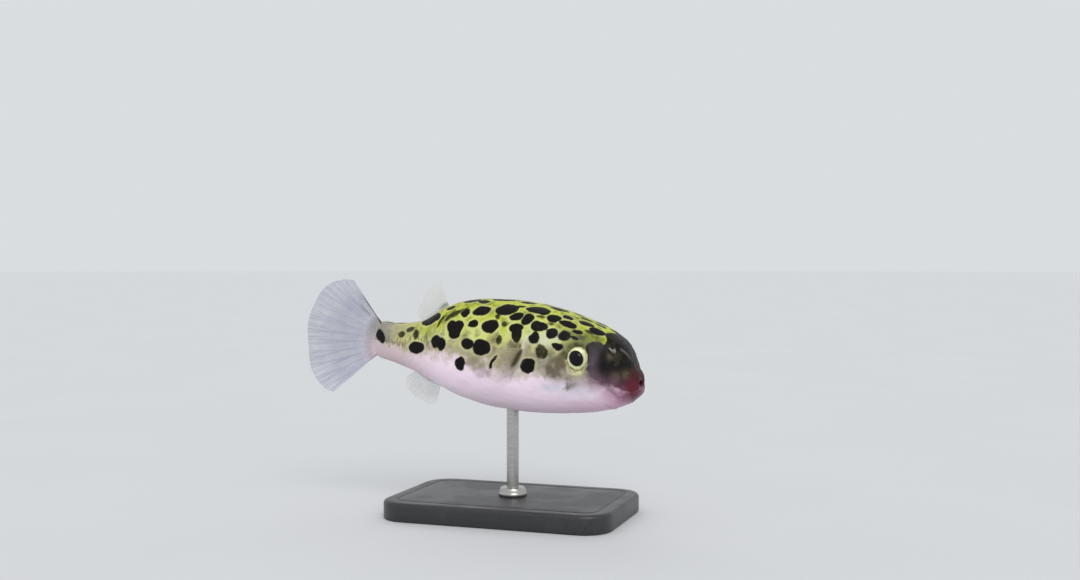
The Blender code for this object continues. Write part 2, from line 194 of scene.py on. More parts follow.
# Soft patches on the head and flank of one side, in the same form, by the name of their value.
PATCHES = {
    "violet": [(9.3, 66, 1.25, 2.7, 0), (9.0, 84, 1.5, 2.2, 0)],
    "dusk": [(7.4, 52, 0.8, 2.0, 0), (7.1, 72, 0.9, 2.4, 0), (6.9, 88, 1.0, 1.6, 0)],
    "tan": [(6.4, 53, 0.8, 0.8, 0), (2.9, 66, 1.2, 1.1, 0), (4.4, 80, 1.2, 1.0, 0)],
    "pale": [(19.4, 54, 1.7, 2.1, 0), (17.3, 52, 1.1, 1.5, 0), (23.6, 60, 0.6, 1.6, 0)],
    "grey": [(15.4, 92, 3.2, 1.9, 0), (18.6, 80, 2.0, 2.0, 0), (12.0, 98, 2.6, 1.6, 0)],
    "haze": [(12.0, 111, 4.6, 1.7, 0), (17.0, 108, 3.6, 1.4, 0)],
    "brow": [(12.4, 43, 3.4, 1.9, 0), (15.0, 44, 2.0, 1.6, 0), (9.9, 36, 1.7, 1.0, 0)],
    "red": [(2.3, 86, 1.7, 1.8, 0), (1.7, 66, 0.8, 1.6, 0), (2.2, 108, 1.6, 1.8, 0)],
    "mauve": [(7.6, 96, 2.0, 1.7, 0), (5.0, 101, 2.2, 2.0, 10), (3.2, 104, 1.4, 1.3, 0),
              (2.9, 124, 1.5, 1.4, 0)],
}

# Paths on the skin of one side, as (s, degrees round from the top).
GILL_EDGE = [(24.0, 56), (23.8, 68), (24.4, 80), (25.5, 92)]
FIN_ROOT_LINE = [(24.7, 66), (24.8, 77), (25.1, 88)]
# Along this line the snout's crest gets a painted highlight.
SNOUT_HIGHLIGHT_LINE = [(5.0, 36), (3.8, 30), (2.5, 25)]
CHEEK_FOLD = [(7.6, 88), (5.8, 99), (4.2, 112), (3.4, 126)]
NOSTRIL_PLACE = (5.6, 46)
GILL_GROOVE = [(s - 0.62, degrees) for s, degrees in GILL_EDGE]  # just before the edge
MARK_GROWTH = 1.07
MARK_WARP = 0.16  # mm
MARK_DEPTH = 2.5  # mm out of a mark's plane to which the mark reaches
PATCH_DEPTH = 3.0  # the same for a soft patch
FAR = 9.0  # mm, given where nothing is near
LEFT_CHANGE = (0.8, 3.5, 0.14, 0.12, 14)  # most by which a mark's five numbers differ on the left
FREE_S = (12, 57)  # mm back from the lips, between which the left marks move by all of it
HELD_SHARE = 0.35  # share of it by which they move nearer the lips and the tail fin
PATH_STEPS = 12  # places worked out between two points of a path
CHIN_FOLDS = [[(2.6, 100), (2.4, 125), (2.4, 152), (2.4, 180)], [(6.0, 128), (5.2, 150), (5.0, 180)]]


def linear(red, green, blue):
    """A colour given in 0 to 255 screen values, as the linear values that shaders take."""
    share = np.array([red, green, blue]) / 255.0
    return tuple(np.where(share <= 0.04045, share / 12.92, ((share + 0.055) / 1.055) ** 2.4))


def colour_property(name, description, *screen):
    return FloatVectorProperty(name=name, description=description, subtype="COLOR", size=3,
                               min=0.0, max=1.0, default=linear(*screen))


def number_property(name, description, default, **more):
    return FloatProperty(name=name, description=description, default=default, **more)


def angle_property(name, description, degrees):
    return number_property(name, description, math.radians(degrees), subtype="ANGLE", unit="ROTATION")


class SkinSettings(bpy.types.PropertyGroup):
    columns: IntProperty(name="Columns", description="Mesh columns round the body", default=296, min=64)
    lime: colour_property("Lime", "Ground colour of the back", 178, 186, 62)
    moss: colour_property("Moss", "Darker blotches in the lime", 92, 98, 30)
    cream: colour_property("Cream", "Network between the marks", 212, 217, 138)
    beige: colour_property("Beige", "Network between the marks on the side", 192, 187, 154)
    flank: colour_property("Flank", "Ground colour of the sides", 164, 158, 122)
    pale: colour_property("Pale", "Whitish patch behind the eye", 204, 206, 177)
    belly: colour_property("Belly", "Ground colour below", 245, 224, 238)
    stalk: colour_property("Stalk", "Ground colour of the tail stalk", 178, 172, 132)
    tail_root: colour_property("Tail Root", "Ground colour at the end of the stalk", 138, 134, 132)
    tail_belly: colour_property("Tail Belly", "Underside of the tail stalk", 206, 186, 190)
    black: colour_property("Black", "The round marks", 12, 10, 8)
    olive: colour_property("Olive", "The weaker marks", 42, 40, 17)
    brown: colour_property("Brown", "The weak clouds on the side", 82, 73, 55)
    face: colour_property("Face", "The dark mask before the eyes", 20, 18, 15)
    face_spots: colour_property("Face Spots", "Lighter spots in the mask", 52, 48, 36)
    tan: colour_property("Tan", "Lightest spots in the mask", 84, 76, 58)
    violet: colour_property("Violet", "The grey patch before the eye", 84, 73, 84)
    cheek: colour_property("Cheek", "The grey under and behind the eye", 132, 124, 124)
    chin: colour_property("Chin", "The pink under the mouth", 206, 158, 186)
    mauve: colour_property("Mauve", "Between the mask and the chin", 128, 92, 112)
    lips: colour_property("Lips", "The lips at the sides", 90, 34, 48)
    mouth: colour_property("Mouth", "The inside of the mouth", 110, 26, 40)
    streak: colour_property("Streaks", "Upright lines on the tail stalk", 116, 102, 70)
    wobble: number_property("Ragged Edge", "How far a mark's edge wanders, in mm", 0.22, min=0.0)


class EyeSettings(bpy.types.PropertyGroup):
    opening: number_property("Opening", "Half width of the lids' opening, in mm", 2.15)
    pupil: number_property("Pupil", "Radius of the pupil, in mm", 1.54)
    iris: colour_property("Iris", "The bright ring", 238, 240, 192)
    rim: colour_property("Rim", "Lines and the lower part of the ring", 204, 204, 148)
    lid: colour_property("Lid", "The lower lid", 200, 198, 150)


class FinSettings(bpy.types.PropertyGroup):
    membrane_half: number_property("Membrane", "Half thickness of the membrane, in mm", 0.05)
    ray_half: number_property("Rays", "Height of a ray over the membrane, in mm", 0.06)
    tail: colour_property("Tail Fin", "Membrane of the tail fin", 147, 145, 175)
    tail_ray: colour_property("Tail Rays", "Rays of the tail fin", 146, 145, 174)
    small: colour_property("Back and Belly Fins", "Membrane of the back and belly fins", 186, 190, 178)
    small_ray: colour_property("Back and Belly Rays", "Rays of the back and belly fins", 208, 208, 190)
    side: colour_property("Side Fins", "Membrane of the side fins", 178, 168, 134)
    side_ray: colour_property("Side Rays", "Rays of the side fins", 194, 183, 158)
    tail_solid: number_property("Tail Solid", "Light stopped by the tail fin", 0.31)
    small_solid: number_property("Small Solid", "Light stopped by the back and belly fins", 0.2)
    side_solid: number_property("Side Solid", "Light stopped by the side fins", 0.36)


class StandSettings(bpy.types.PropertyGroup):
    paint: colour_property("Paint", "The painted base", 44, 44, 46)
    metal: colour_property("Metal", "The rod and collar", 196, 194, 190)


class StageSettings(bpy.types.PropertyGroup):
    azimuth: angle_property("Azimuth", "Camera direction round the fish", 22)
    elevation: angle_property("Elevation", "Camera height angle", 4.5)
    distance: number_property("Distance", "Camera from the aim point", 0.272, unit="LENGTH")
    field: angle_property("Field of View", "Across the frame", 46.5)
    left: number_property("Left of Middle", "Of the aim point, as a share of the width", 0.062)
    below: number_property("Below Middle", "Of the aim point, as a share of the height", 0.119)
    floor: colour_property("Floor", "The pale floor", 206, 207, 208)


# ------------------------------------------------------------------ points and meshes


def level_to_room(points):
    """Level points (s, y, z) in mm as room points in metres."""
    s, y, z = np.moveaxis(np.asarray(points, float), -1, 0)
    ahead = ROD_S - s
    cos, sin = math.cos(NOSE_DOWN), math.sin(NOSE_DOWN)
    x = SNOUT_X - ROD_S + ahead * cos + z * sin
    up = AXIS_HEIGHT - ahead * sin + z * cos
    return np.stack([x, y, up], axis=-1) * MM


def room_to_level(point):
    """A room point in metres as a level one in mm."""
    x, y, up = np.asarray(point, float) / MM
    cos, sin = math.cos(NOSE_DOWN), math.sin(NOSE_DOWN)
    x, up = x - (SNOUT_X - ROD_S), up - AXIS_HEIGHT
    return np.array([ROD_S - (x * cos - up * sin), y, x * sin + up * cos])


def ease(value, start, end):
    """0 before start, 1 after end and an S-shaped rise between them."""
    share = np.clip((np.asarray(value, float) - start) / (end - start), 0, 1)
    return share * share * (3 - 2 * share)


def bell(value, width):
    return np.exp(-((value / width) ** 2))


def unit(vector):
    return vector / np.linalg.norm(vector)


def backward(axis):
    """Unit vector square to an axis, as near as can be to the way back along the body."""
    return unit(np.array([1.0, 0, 0]) - axis * axis[0])


def full_turn(count):
    return np.linspace(0, 2 * math.pi, count, endpoint=False)


def flipped(faces):
    return [face[::-1] for face in faces]


def smooth_rows(rows, steps):
    """Rows of numbers with steps - 1 more between each two, on a centripetal Catmull-Rom curve."""
    rows = np.asarray(rows, float)
    rows = np.vstack([2 * rows[0] - rows[1], rows, 2 * rows[-1] - rows[-2]])
    knots = np.concatenate([[0], np.cumsum(np.sqrt(np.linalg.norm(np.diff(rows, axis=0), axis=1)))])
    out = []
    for i in range(1, len(rows) - 2):
        t0, t1, t2, t3 = knots[i - 1 : i + 3]
        p0, p1, p2, p3 = rows[i - 1 : i + 3]
        t = np.linspace(t1, t2, steps, endpoint=False)[:, None]
        a1 = p0 + (p1 - p0) * (t - t0) / (t1 - t0)
        a2 = p1 + (p2 - p1) * (t - t1) / (t2 - t1)
        a3 = p2 + (p3 - p2) * (t - t2) / (t3 - t2)
        b1 = a1 + (a2 - a1) * (t - t0) / (t2 - t0)
        b2 = a2 + (a3 - a2) * (t - t1) / (t3 - t1)
        out.append(b1 + (b2 - b1) * (t - t1) / (t2 - t1))
    out.append(rows[-2][None])
    return np.concatenate(out)


def ripple(points, size, seed, waves=26):
    """Soft lumps about size mm across: the sum of plane waves in random directions, about -1 to 1."""
    chance = np.random.default_rng(seed)
    way = chance.normal(size=(waves, 3))
    way *= (2 * math.pi / size * chance.uniform(0.6, 1.3, waves) / np.linalg.norm(way, axis=1))[:, None]
    phase = chance.uniform(0, 2 * math.pi, waves)
    total = np.zeros(points.shape[:-1])
    for direction, start in zip(way, phase):
        total += np.cos(points @ direction + start)
    return total / math.sqrt(waves)


def sheet_faces(rows, columns, wrap, first=0):
    """Quads between neighbours of a grid of points; wrap joins the last column to the first."""
    index = first + np.arange(rows * columns).reshape(rows, columns)
    right = np.roll(index, -1, axis=1) if wrap else index[:, 1:]
    left = index if wrap else index[:, :-1]
    return np.stack([left[:-1], right[:-1], right[1:], left[1:]], axis=-1).reshape(-1, 4)


def closed_roll(grid):
    """Points and faces of a grid that closes round its columns, with a point in the middle of each end."""
    rows, columns = grid.shape[:2]
    faces = sheet_faces(rows, columns, True).tolist()
    j = np.arange(columns)
    k = (j + 1) % columns
    middle = rows * columns
    last = (rows - 1) * columns
    faces += np.stack([np.full(columns, middle), k, j], axis=-1).tolist()
    faces += np.stack([np.full(columns, middle + 1), last + j, last + k], axis=-1).tolist()
    ends = [grid[0].mean(axis=0), grid[-1].mean(axis=0)]
    return np.vstack([grid.reshape(-1, 3), ends]), faces


def thin_shell(middle, normal, half):
    """Points and faces of a sheet with two sides, half its thickness away from its middle surface."""
    rows, columns = middle.shape[:2]
    offset = normal * half[..., None]
    points = np.vstack([(middle + offset).reshape(-1, 3), (middle - offset).reshape(-1, 3)])
    front = sheet_faces(rows, columns, False)
    back = sheet_faces(rows, columns, False, rows * columns)[:, ::-1]
    index = np.arange(rows * columns).reshape(rows, columns)
    border = np.concatenate([index[0, :-1], index[:-1, -1], index[-1, :0:-1], index[:0:-1, 0]])
    following = np.roll(border, -1)
    edge = np.stack([following, border, border + rows * columns, following + rows * columns], axis=-1)
    return points, np.vstack([front, back, edge]).tolist()


def grid_normals(grid, wrap):
    """Unit normals of a grid of points, from the steps to its neighbours."""
    down = np.gradient(grid, axis=0)
    if wrap:
        across = np.roll(grid, -1, axis=1) - np.roll(grid, 1, axis=1)
    else:
        across = np.gradient(grid, axis=1)
    normal = np.cross(across, down)
    return normal / np.maximum(np.linalg.norm(normal, axis=-1, keepdims=True), 1e-9)


def placed(name, data):
    """A new object in the scene, at the origin."""
    thing = bpy.data.objects.new(name, data)
    bpy.context.scene.collection.objects.link(thing)
    return thing


def smooth_mesh(name, points, faces, look):
    mesh = bpy.data.meshes.new(name)
    mesh.from_pydata(np.asarray(points).reshape(-1, 3).tolist(), [], faces)
    mesh.validate()
    mesh.shade_smooth()
    mesh.materials.append(look)
    return mesh


def add_piece(name, points, faces, look, replaced=(), fields=None):
    """A finished piece from level points, with its named values for the material."""
    return add_room_piece(name, level_to_room(points), faces, look, replaced, fields)


def add_room_piece(name, points, faces, look, replaced=(), fields=None):
    """A finished piece from room points; it rides on the root and stands for the replaced nodes."""
    mesh = smooth_mesh(name, points, faces, look)
    for key, values in (fields or {}).items():
        values = np.asarray(values, np.float32).ravel()
        if len(values) != len(mesh.vertices):
            raise ValueError(f"{name}: {key} has {len(values)} values for {len(mesh.vertices)} points")
        mesh.attributes.new(key, "FLOAT", "POINT").data.foreach_set("value", values)
    piece = placed(name, mesh)
    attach(piece, "root")
    if replaced:
        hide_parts(*replaced)
    return piece


# ------------------------------------------------------------------ shader nodes


def put(tree, kind, inputs=None, **settings):
    """A node with its settings, and its inputs given values or joined to outputs."""
    node = tree.nodes.new(kind)
    for key, value in settings.items():
        setattr(node, key, value)
    for key, value in (inputs or {}).items():
        if isinstance(value, bpy.types.NodeSocket):
            tree.links.new(value, node.inputs[key])
        else:
            node.inputs[key].default_value = value
    return node


def joined(kind, inputs, **settings):
    """A node put in the tree of the outputs that it is joined to."""
    tree = next(value.id_data for value in inputs.values() if isinstance(value, bpy.types.NodeSocket))
    return put(tree, kind, inputs, **settings)


def mixed(factor, first, second):
    """One colour passing into another."""
    first, second = (c if isinstance(c, bpy.types.NodeSocket) else (*c, 1.0) for c in (first, second))
    return joined("ShaderNodeMix", {0: factor, 6: first, 7: second}, data_type="RGBA").outputs[2]


def calc(operation, *values):
    return joined("ShaderNodeMath", dict(enumerate(values)), operation=operation).outputs[0]


def times(*values):
    result = values[0]
    for value in values[1:]:
        result = calc("MULTIPLY", result, value)
    return result


def pushed(value, noise, amount):
    """A value moved by noise that runs from 0 to 1: by up to half of the amount either way."""
    return calc("ADD", value, times(calc("SUBTRACT", noise, 0.5), amount))


def layered(ground, *layers):
    """A ground colour with others laid over it, each given as its mask and its colour."""
    for mask, colour in layers:
        ground = mixed(mask, ground, colour)
    return ground


def eased(value, start, end, low=0.0, high=1.0):
    ranges = {"Value": value, "From Min": start, "From Max": end, "To Min": low, "To Max": high}
    return joined("ShaderNodeMapRange", ranges, interpolation_type="SMOOTHSTEP").outputs["Result"]


def field(tree, name, share=None):
    """A named value of the mesh, times a share where one is given."""
    value = put(tree, "ShaderNodeAttribute", attribute_name=name).outputs["Fac"]
    return value if share is None else times(value, share)


def noise_at(tree, place, scale, detail):
    """Noise from 0 to 1 at a place whose two or three coordinates are values."""
    place = put(tree, "ShaderNodeCombineXYZ", dict(zip("XYZ", place))).outputs[0]
    return joined("ShaderNodeTexNoise", {"Vector": place, "Scale": scale, "Detail": detail}).outputs["Fac"]


def new_group(name, inputs, output):
    tree = bpy.data.node_groups.new(name, "ShaderNodeTree")
    number = "NodeSocketFloat"
    for label, default in inputs:
        tree.interface.new_socket(label, in_out="INPUT", socket_type=number).default_value = default
    tree.interface.new_socket(output, in_out="OUTPUT", socket_type=number)
    return tree, tree.nodes.new("NodeGroupInput").outputs, tree.nodes.new("NodeGroupOutput").inputs


def shared_group(name):
    """A node group by name, built the first time it is asked for."""
    return bpy.data.node_groups.get(name) or GROUP_MAKERS[name](name)


def make_mottle(name):
    """Cloudy value from 0 to 1: noise on Object coordinates, with a cell of Size mm."""
    tree, given, out = new_group(name, [("Size", 1.0), ("Detail", 2.0), ("Shift", 0.0)], "Value")
    place = put(tree, "ShaderNodeTexCoord").outputs["Object"]
    moved = joined("ShaderNodeVectorMath", {0: place, 1: given["Shift"]}, operation="ADD").outputs[0]
    scale = calc("DIVIDE", 1000.0, given["Size"])
    noise = put(tree, "ShaderNodeTexNoise", {"Vector": moved, "Scale": scale, "Detail": given["Detail"],
                                             "Roughness": 0.55})
    tree.links.new(eased(noise.outputs["Fac"], 0.25, 0.75), out["Value"])
    return tree


def make_mark(name):
    """Mask of a mark: 1 where its signed distance, pushed in and out by noise, is below zero."""
    sockets = [("Distance", 0.0), ("Wobble", 0.2), ("Size", 1.2), ("Softness", 0.1), ("Shift", 0.0)]
    tree, given, out = new_group(name, sockets, "Mask")
    cloud = grouped(tree, "Mottle", size=given["Size"], shift=given["Shift"])
    edge, soft = pushed(given["Distance"], cloud, given["Wobble"]), given["Softness"]
    tree.links.new(eased(edge, times(soft, -1.0), soft, 1.0, 0.0), out["Mask"])
    return tree


def make_grain(name):
    """Height of fine skin grain: small pits between soft cells, with noise over them."""
    tree, given, out = new_group(name, [("Size", 0.5)], "Height")
    place = put(tree, "ShaderNodeTexCoord").outputs["Object"]
    scale = calc("DIVIDE", 1000.0, given["Size"])
    cells = put(tree, "ShaderNodeTexVoronoi", {"Vector": place, "Scale": scale}, feature="SMOOTH_F1")
    noise = put(tree, "ShaderNodeTexNoise", {"Vector": place, "Scale": scale, "Detail": 2.0})
    total = calc("ADD", cells.outputs["Distance"], calc("MULTIPLY", noise.outputs["Fac"], 0.7))
    tree.links.new(total, out["Height"])
    return tree


GROUP_MAKERS = {"Mottle": make_mottle, "Mark Edge": make_mark, "Skin Grain": make_grain}


def grouped(tree, name, **inputs):
    """A placed shared group, with its inputs given by name; returns its one output."""
    inputs = {key.title(): value for key, value in inputs.items()}
    return put(tree, "ShaderNodeGroup", inputs, node_tree=shared_group(name)).outputs[0]


def new_material(name, **constants):
    """A material whose Principled shader has its plain values set by name."""
    made = bpy.data.materials.new(name)
    made.use_nodes = True
    shader = made.node_tree.nodes["Principled BSDF"]
    for key, value in constants.items():
        shader.inputs[key.replace("_", " ")].default_value = value
    return made, made.node_tree, shader


def feed(shader, **sockets):
    for key, socket in sockets.items():
        shader.id_data.links.new(socket, shader.inputs[key.replace("_", " ")])


def shaded(colour, share):
    """A colour darkened by a share below 1 or lightened by one above it."""
    return tuple(share * value for value in colour)


def bumped(height, strength, distance_mm):
    values = {"Height": height, "Strength": strength, "Distance": distance_mm * MM}
    return joined("ShaderNodeBump", values).outputs["Normal"]


# ------------------------------------------------------------------ skin


def ring_surface(rows, angles):
    """Points of body rings: two half superellipses that meet at the widest level.

    At an angle from the top, the point lies where (|side|/half width)^p + (|up|/rise)^p is 1.
    """
    s, top, bottom, half = (rows[..., i, None] for i in range(4))
    widest = bottom + (top - bottom) * WIDEST_LEVEL
    side, up = np.sin(angles), np.cos(angles)
    rise = np.where(up >= 0, top - widest, widest - bottom)
    power = np.where(up >= 0, np.interp(s, (0, CROWN_EASES), CROWN_POWERS), BELLY_POWER)
    reach = (np.abs(side / half) ** power + np.abs(up / rise) ** power) ** (-1 / power)
    return np.stack([s + 0 * reach, reach * side, widest + reach * up], axis=-1)


def outer_rows():
    rows = smooth_rows(RINGS, RING_STEPS)
    return rows[np.argmin(rows[:, 0]) :]


def on_skin(s, degrees):
    """Points of the skin at places (s, degrees round from the top; plus is the fish's left)."""
    rows = outer_rows()
    s, degrees = np.broadcast_arrays(np.asarray(s, float), np.asarray(degrees, float))
    ring = np.stack([s] + [np.interp(s, rows[:, 0], rows[:, i]) for i in (1, 2, 3)], axis=-1)
    return ring_surface(ring, np.radians(degrees)[..., None])[..., 0, :]


def skin_rows():
    """Body rings spaced along the skin by ROW_STEPS, closer where the head has small detail."""
    rows = smooth_rows(RINGS, RING_STEPS)
    step = np.diff(rows, axis=0)
    travel = np.sqrt(step[:, 0] ** 2 + step[:, 3] ** 2 / 2 + (step[:, 1] - step[:, 2]) ** 2 / 8)
    travel = travel / np.interp(rows[1:, 0], ROW_PLACES, ROW_STEPS)
    along = np.concatenate([[0], np.cumsum(travel)])
    places = np.linspace(0, along[-1], int(along[-1]))
    turn = along[np.argmin(rows[:, 0])]
    return np.stack([np.interp(places, along, rows[:, i]) for i in range(4)], axis=-1), places - turn


def skin_angles(columns):
    """Angles round the body, closer together at the height of the eyes and the same on both sides."""
    angle = np.linspace(0, math.pi, 721)
    density = 1 + 0.9 * bell(angle - math.radians(69), math.radians(17))
    along = np.concatenate([[0], np.cumsum((density[1:] + density[:-1]) / 2)])
    half = np.interp(np.linspace(0, along[-1], columns // 2 + 1), along, angle)
    return np.concatenate([half, -half[-2:0:-1]])


def mark_reach(points, mark):
    """How far points lie from a mark's middle: in mm, as a share of its ellipse, and out of its plane."""
    s, degrees, length, height, turned_up = mark
    middle, ahead, above = on_skin([s, s - 0.2, s], [degrees, degrees, degrees - (1 if degrees >= 0 else -1)])
    forward, up = unit(ahead - middle), above - middle
    up = unit(up - forward * (up @ forward))
    offset = points - middle
    turn = math.radians(turned_up)
    u, v = offset @ forward, offset @ up
    u, v = u * math.cos(turn) + v * math.sin(turn), v * math.cos(turn) - u * math.sin(turn)
    deep = np.abs(offset @ np.cross(forward, up))
    return np.hypot(u, v) + 1e-6, np.hypot(u / length, v / height) + 1e-6, deep


def mark_distance(points, marks, seed):
    """Signed distance in mm to the nearest mark, each an ellipse in the skin's plane at its middle.

    It is measured along the line to the mark's middle: |q| - |q| / k, where k is 1 on the ellipse.
    The points are pushed about by soft lumps first, so that no mark is a true ellipse.
    """
    push = [ripple(points, 3.8, seed + i) for i in range(3)]
    points = points + MARK_WARP * np.stack(push, axis=-1)
    nearest = np.full(points.shape[:-1], FAR)
    for mark in marks:
        reach, share, deep = mark_reach(points, mark)
        share = share / MARK_GROWTH
        nearest = np.minimum(nearest, reach - reach / share + 2.0 * np.maximum(deep - MARK_DEPTH, 0))
    return nearest


def patches(points, marks):
    """Soft patches: 1 in the middle of each mark and a bell round it, on both sides of the body."""
    total = np.zeros(points.shape[:-1])
    for s, degrees, length, height, turned_up in marks:
        for way in (1, -1):
            _, share, deep = mark_reach(points, (s, way * degrees, length, height, turned_up))
            total = np.maximum(total, bell(share, 1.0) * (deep < PATCH_DEPTH))
    return total


def both_sides(marks, seed):
    """Marks of the right side as given, and those of the left side moved a little from them."""
    chance = np.random.default_rng(seed)
    out = []
    for s, degrees, length, height, turned_up in marks:
        out.append((s, -degrees, length, height, turned_up))
        move = chance.uniform(-1, 1, 5)
        change = LEFT_CHANGE
        small = 1.0 if FREE_S[0] <= s <= FREE_S[1] else HELD_SHARE
        out.append((s + change[0] * small * move[0], degrees + change[1] * small * move[1],
                    length * (1 + change[2] * move[2]), height * (1 + change[3] * move[3]),
                    turned_up + change[4] * move[4]))
    return out


def path_distance(points, path, way):
    """Distance to a smooth path on the skin, and how far along it the nearest place is, 0 to 1."""
    places = smooth_rows(path, PATH_STEPS)
    line = on_skin(places[:, 0], way * places[:, 1])
    near = np.full(points.shape[:-1], 99.0)
    share = np.zeros(points.shape[:-1])
    for i, place in enumerate(line):
        distance = np.linalg.norm(points - place, axis=-1)
        closer = distance < near
        near[closer] = distance[closer]
        share[closer] = i / (len(line) - 1)
    return near, share


def eye_frame(way):
    """Middle of an eyeball in level mm, its radius, and its own axes: out, back along the head and up."""
    low, high = (np.array(corner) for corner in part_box("eye_left" if way > 0 else "eye_right"))
    middle = room_to_level((low + high) / 2)
    radius = float((high - low).min()) / 2 / MM
    near_s, near_degrees = np.array([-1, 1, 0, 0]), np.array([0, 0, -8, 8])
    ahead, behind, above, below = on_skin(EYE_S + near_s, (EYE_DEGREES + near_degrees) * way)
    lean = np.cross(behind - ahead, below - above)
    lean *= way * np.sign(lean[1]) / np.linalg.norm(lean)
    out = unit(lean + np.array([0, way * EYE_TILT[0], EYE_TILT[1]]))
    back = backward(out)
    up = np.cross(back, out) * way
    up *= np.sign(up[2])
    return middle, radius, out, back, up


def lid_opening(eye, up_share):
    """Half width of the lids' opening in mm, towards up_share from -1 (down) to 1 (up)."""
    return eye.opening * (1 + np.where(up_share > 0, 0.18, 0.08) * up_share**2)


def path_band(points, path, width, rise=(-1, 0), fall=(2, 1)):
    """A bell across a path, on both sides of the body, with the shares of it where it rises and falls."""
    total = np.zeros(points.shape[:-1])
    for way in (1, -1):
        near, share = path_distance(points, path, way)
        total += (way * points[..., 1] > 0) * bell(near, width) * ease(share, *rise) * ease(share, *fall)
    return total


def place_bump(points, s, degrees, width):
    """A bell round one place of the skin, on both sides of the body."""
    near = [np.linalg.norm(points - on_skin(s, way * degrees), axis=-1) for way in (1, -1)]
    return bell(np.where(points[..., 1] > 0, *near), width)


def skin_relief(base, angles, degrees, lip, outside):
    """How far the skin stands out from the plain body, in mm: lumps, lips, gills, fin roots and wrinkles."""
    s = base[..., 0]
    height = (0.05 * ripple(base, 8.0, 3) + 0.02 * ripple(base, 2.6, 4)) * ease(s, 1.6, 6.0)
    crease = 0.5 + 0.5 * np.cos(angles * 38 + 2.6 * ripple(base, 1.8, 5))
    height += lip * (0.035 * ripple(base, 0.9, 6) - 0.03 * crease**2)
    height -= 0.1 * bell(s - 2.35, 0.34) * outside * ease(ripple(base, 2.4, 9), -0.9, 0.8)
    height -= 0.4 * path_band(base, GILL_GROOVE, 0.3, (0, 0.25), (1, 0.7))
    height += 0.2 * path_band(base, GILL_EDGE, 0.5, (0, 0.25), (1, 0.75))
    height += 0.5 * path_band(base, FIN_ROOT_LINE, 0.8)
    height -= 0.2 * path_band(base, CHEEK_FOLD, 0.45, (0, 0.2), (1, 0.8))
    for path in CHIN_FOLDS:
        height -= 0.09 * path_band(base, path, 0.34, (0, 0.3))
    height += 0.22 * place_bump(base, *NOSTRIL_PLACE, 0.8) + 0.18 * place_bump(base, EYE_S - 0.3, 50, 2.0)
    height += 0.12 * bell(s - 4.1, 1.3) * ease(degrees, 70, 35)
    top_fin = ease(s, 44.6, 46.0) * ease(s, 51.2, 49.6) * (degrees < 90)
    low_fin = ease(s, 43.8, 45.2) * ease(s, 51.4, 50.0) * (degrees > 90)
    height += 0.42 * bell(base[..., 1], 0.6) * (top_fin + low_fin)
    wrinkle = np.abs(ripple(base * (0.22, 1.0, 1.0), 1.7, 8))
    height -= 0.035 * ease(wrinkle, 0.5, 0.0) * ease(degrees, 96, 125) * ease(s, 4, 9) * ease(s, 46, 38)
    return height


def shape_lids(points, base, eye, outside):
    """The skin drawn open over each eyeball with a raised rim, and the masks of the lid and the socket.

    Round each eye, points are moved along the eye's own plane by a curve of their reach from its
    middle, and set level with the ball at the rim, from where they ease back to the skin.
    """
    masks = {key: np.zeros(base.shape[:-1]) for key in ("lid", "lid_low", "lid_edge", "socket")}
    for way in (1, -1):
        middle, radius, out, _, up = eye_frame(way)
        offset = points - middle
        rise = offset @ out
        flat = offset - rise[..., None] * out
        reach = np.linalg.norm(flat, axis=-1)
        here = (way * base[..., 1] > 0) & (reach < LID_REACH) & (rise > 0) & outside
        share_up = (flat @ up) / np.maximum(reach, 1e-6)
        lower = np.clip(-share_up, 0, 1)
        opening = lid_opening(eye, share_up) / LID_REST
        wide = np.interp(reach, (0, 1.45, 2.3, 2.65, LID_REACH), (0, 2.27, 2.36, 2.66, LID_REACH)) * opening
        wide = wide + (reach - wide) * ease(reach, 2.7, 4.0)
        crest = np.interp(reach, (2.3, 2.55, 2.8, 3.2, LID_REACH), (0.0, 0.10, 0.12, 0.05, 0.0))
        edge_level = np.sqrt(radius**2 - (2.36 * opening) ** 2) + 0.10
        rim = edge_level + np.interp(reach, (0, 1.2, 1.7, 2.1, 2.3), (-1.4, -1.2, -0.5, -0.06, 0.0))
        settled = rise + crest * (1.0 + 0.5 * lower)
        roll = (0.04 + 0.05 * lower) * bell(reach - 2.6, 0.28)
        blended = edge_level + (settled - edge_level) * ease(reach, 2.3, 3.3) + roll * (reach > 2.3)
        level = np.where(reach < 2.3, rim, blended)
        moved = middle + flat * (wide / np.maximum(reach, 1e-6))[..., None] + level[..., None] * out
        points = np.where(here[..., None], moved, points)
        limit = LID_REST + ease(lower, 0.6, 0.97)
        masks["lid"] += here * ease(wide, limit + 0.35, limit - 0.15)
        masks["lid_low"] += here * ease(lower, 0.05, 0.5)
        masks["lid_edge"] += here * ease(wide, limit - 0.45, limit - 0.1)
        masks["socket"] += here * bell(wide - 2.85, 0.75) * ease(share_up, -0.35, 0.25)
    return points, masks


def face_mask(base, s, degrees):
    """1 in the dark face: between three soft edges on each side, and over the crown behind the lips."""
    lower_limit = np.interp(s, (0, 3, 11), (96, 100, 86))
    rear_limit = np.interp(degrees, (40, 80, 105), (11.9, 10.0, 7.2))
    upper_limit = np.interp(s, (0, 10, 12.5), (41, 42.5, 58))
    on_side = ease(s, rear_limit + 0.6, rear_limit - 0.9) * ease(degrees, upper_limit - 5, upper_limit + 5)
    on_crown = ease(s + 0.45 * ripple(base, 3.2, 31), 8.5, 7.0)
    return np.maximum(on_side, on_crown) * ease(degrees, lower_limit + 11, lower_limit - 9)


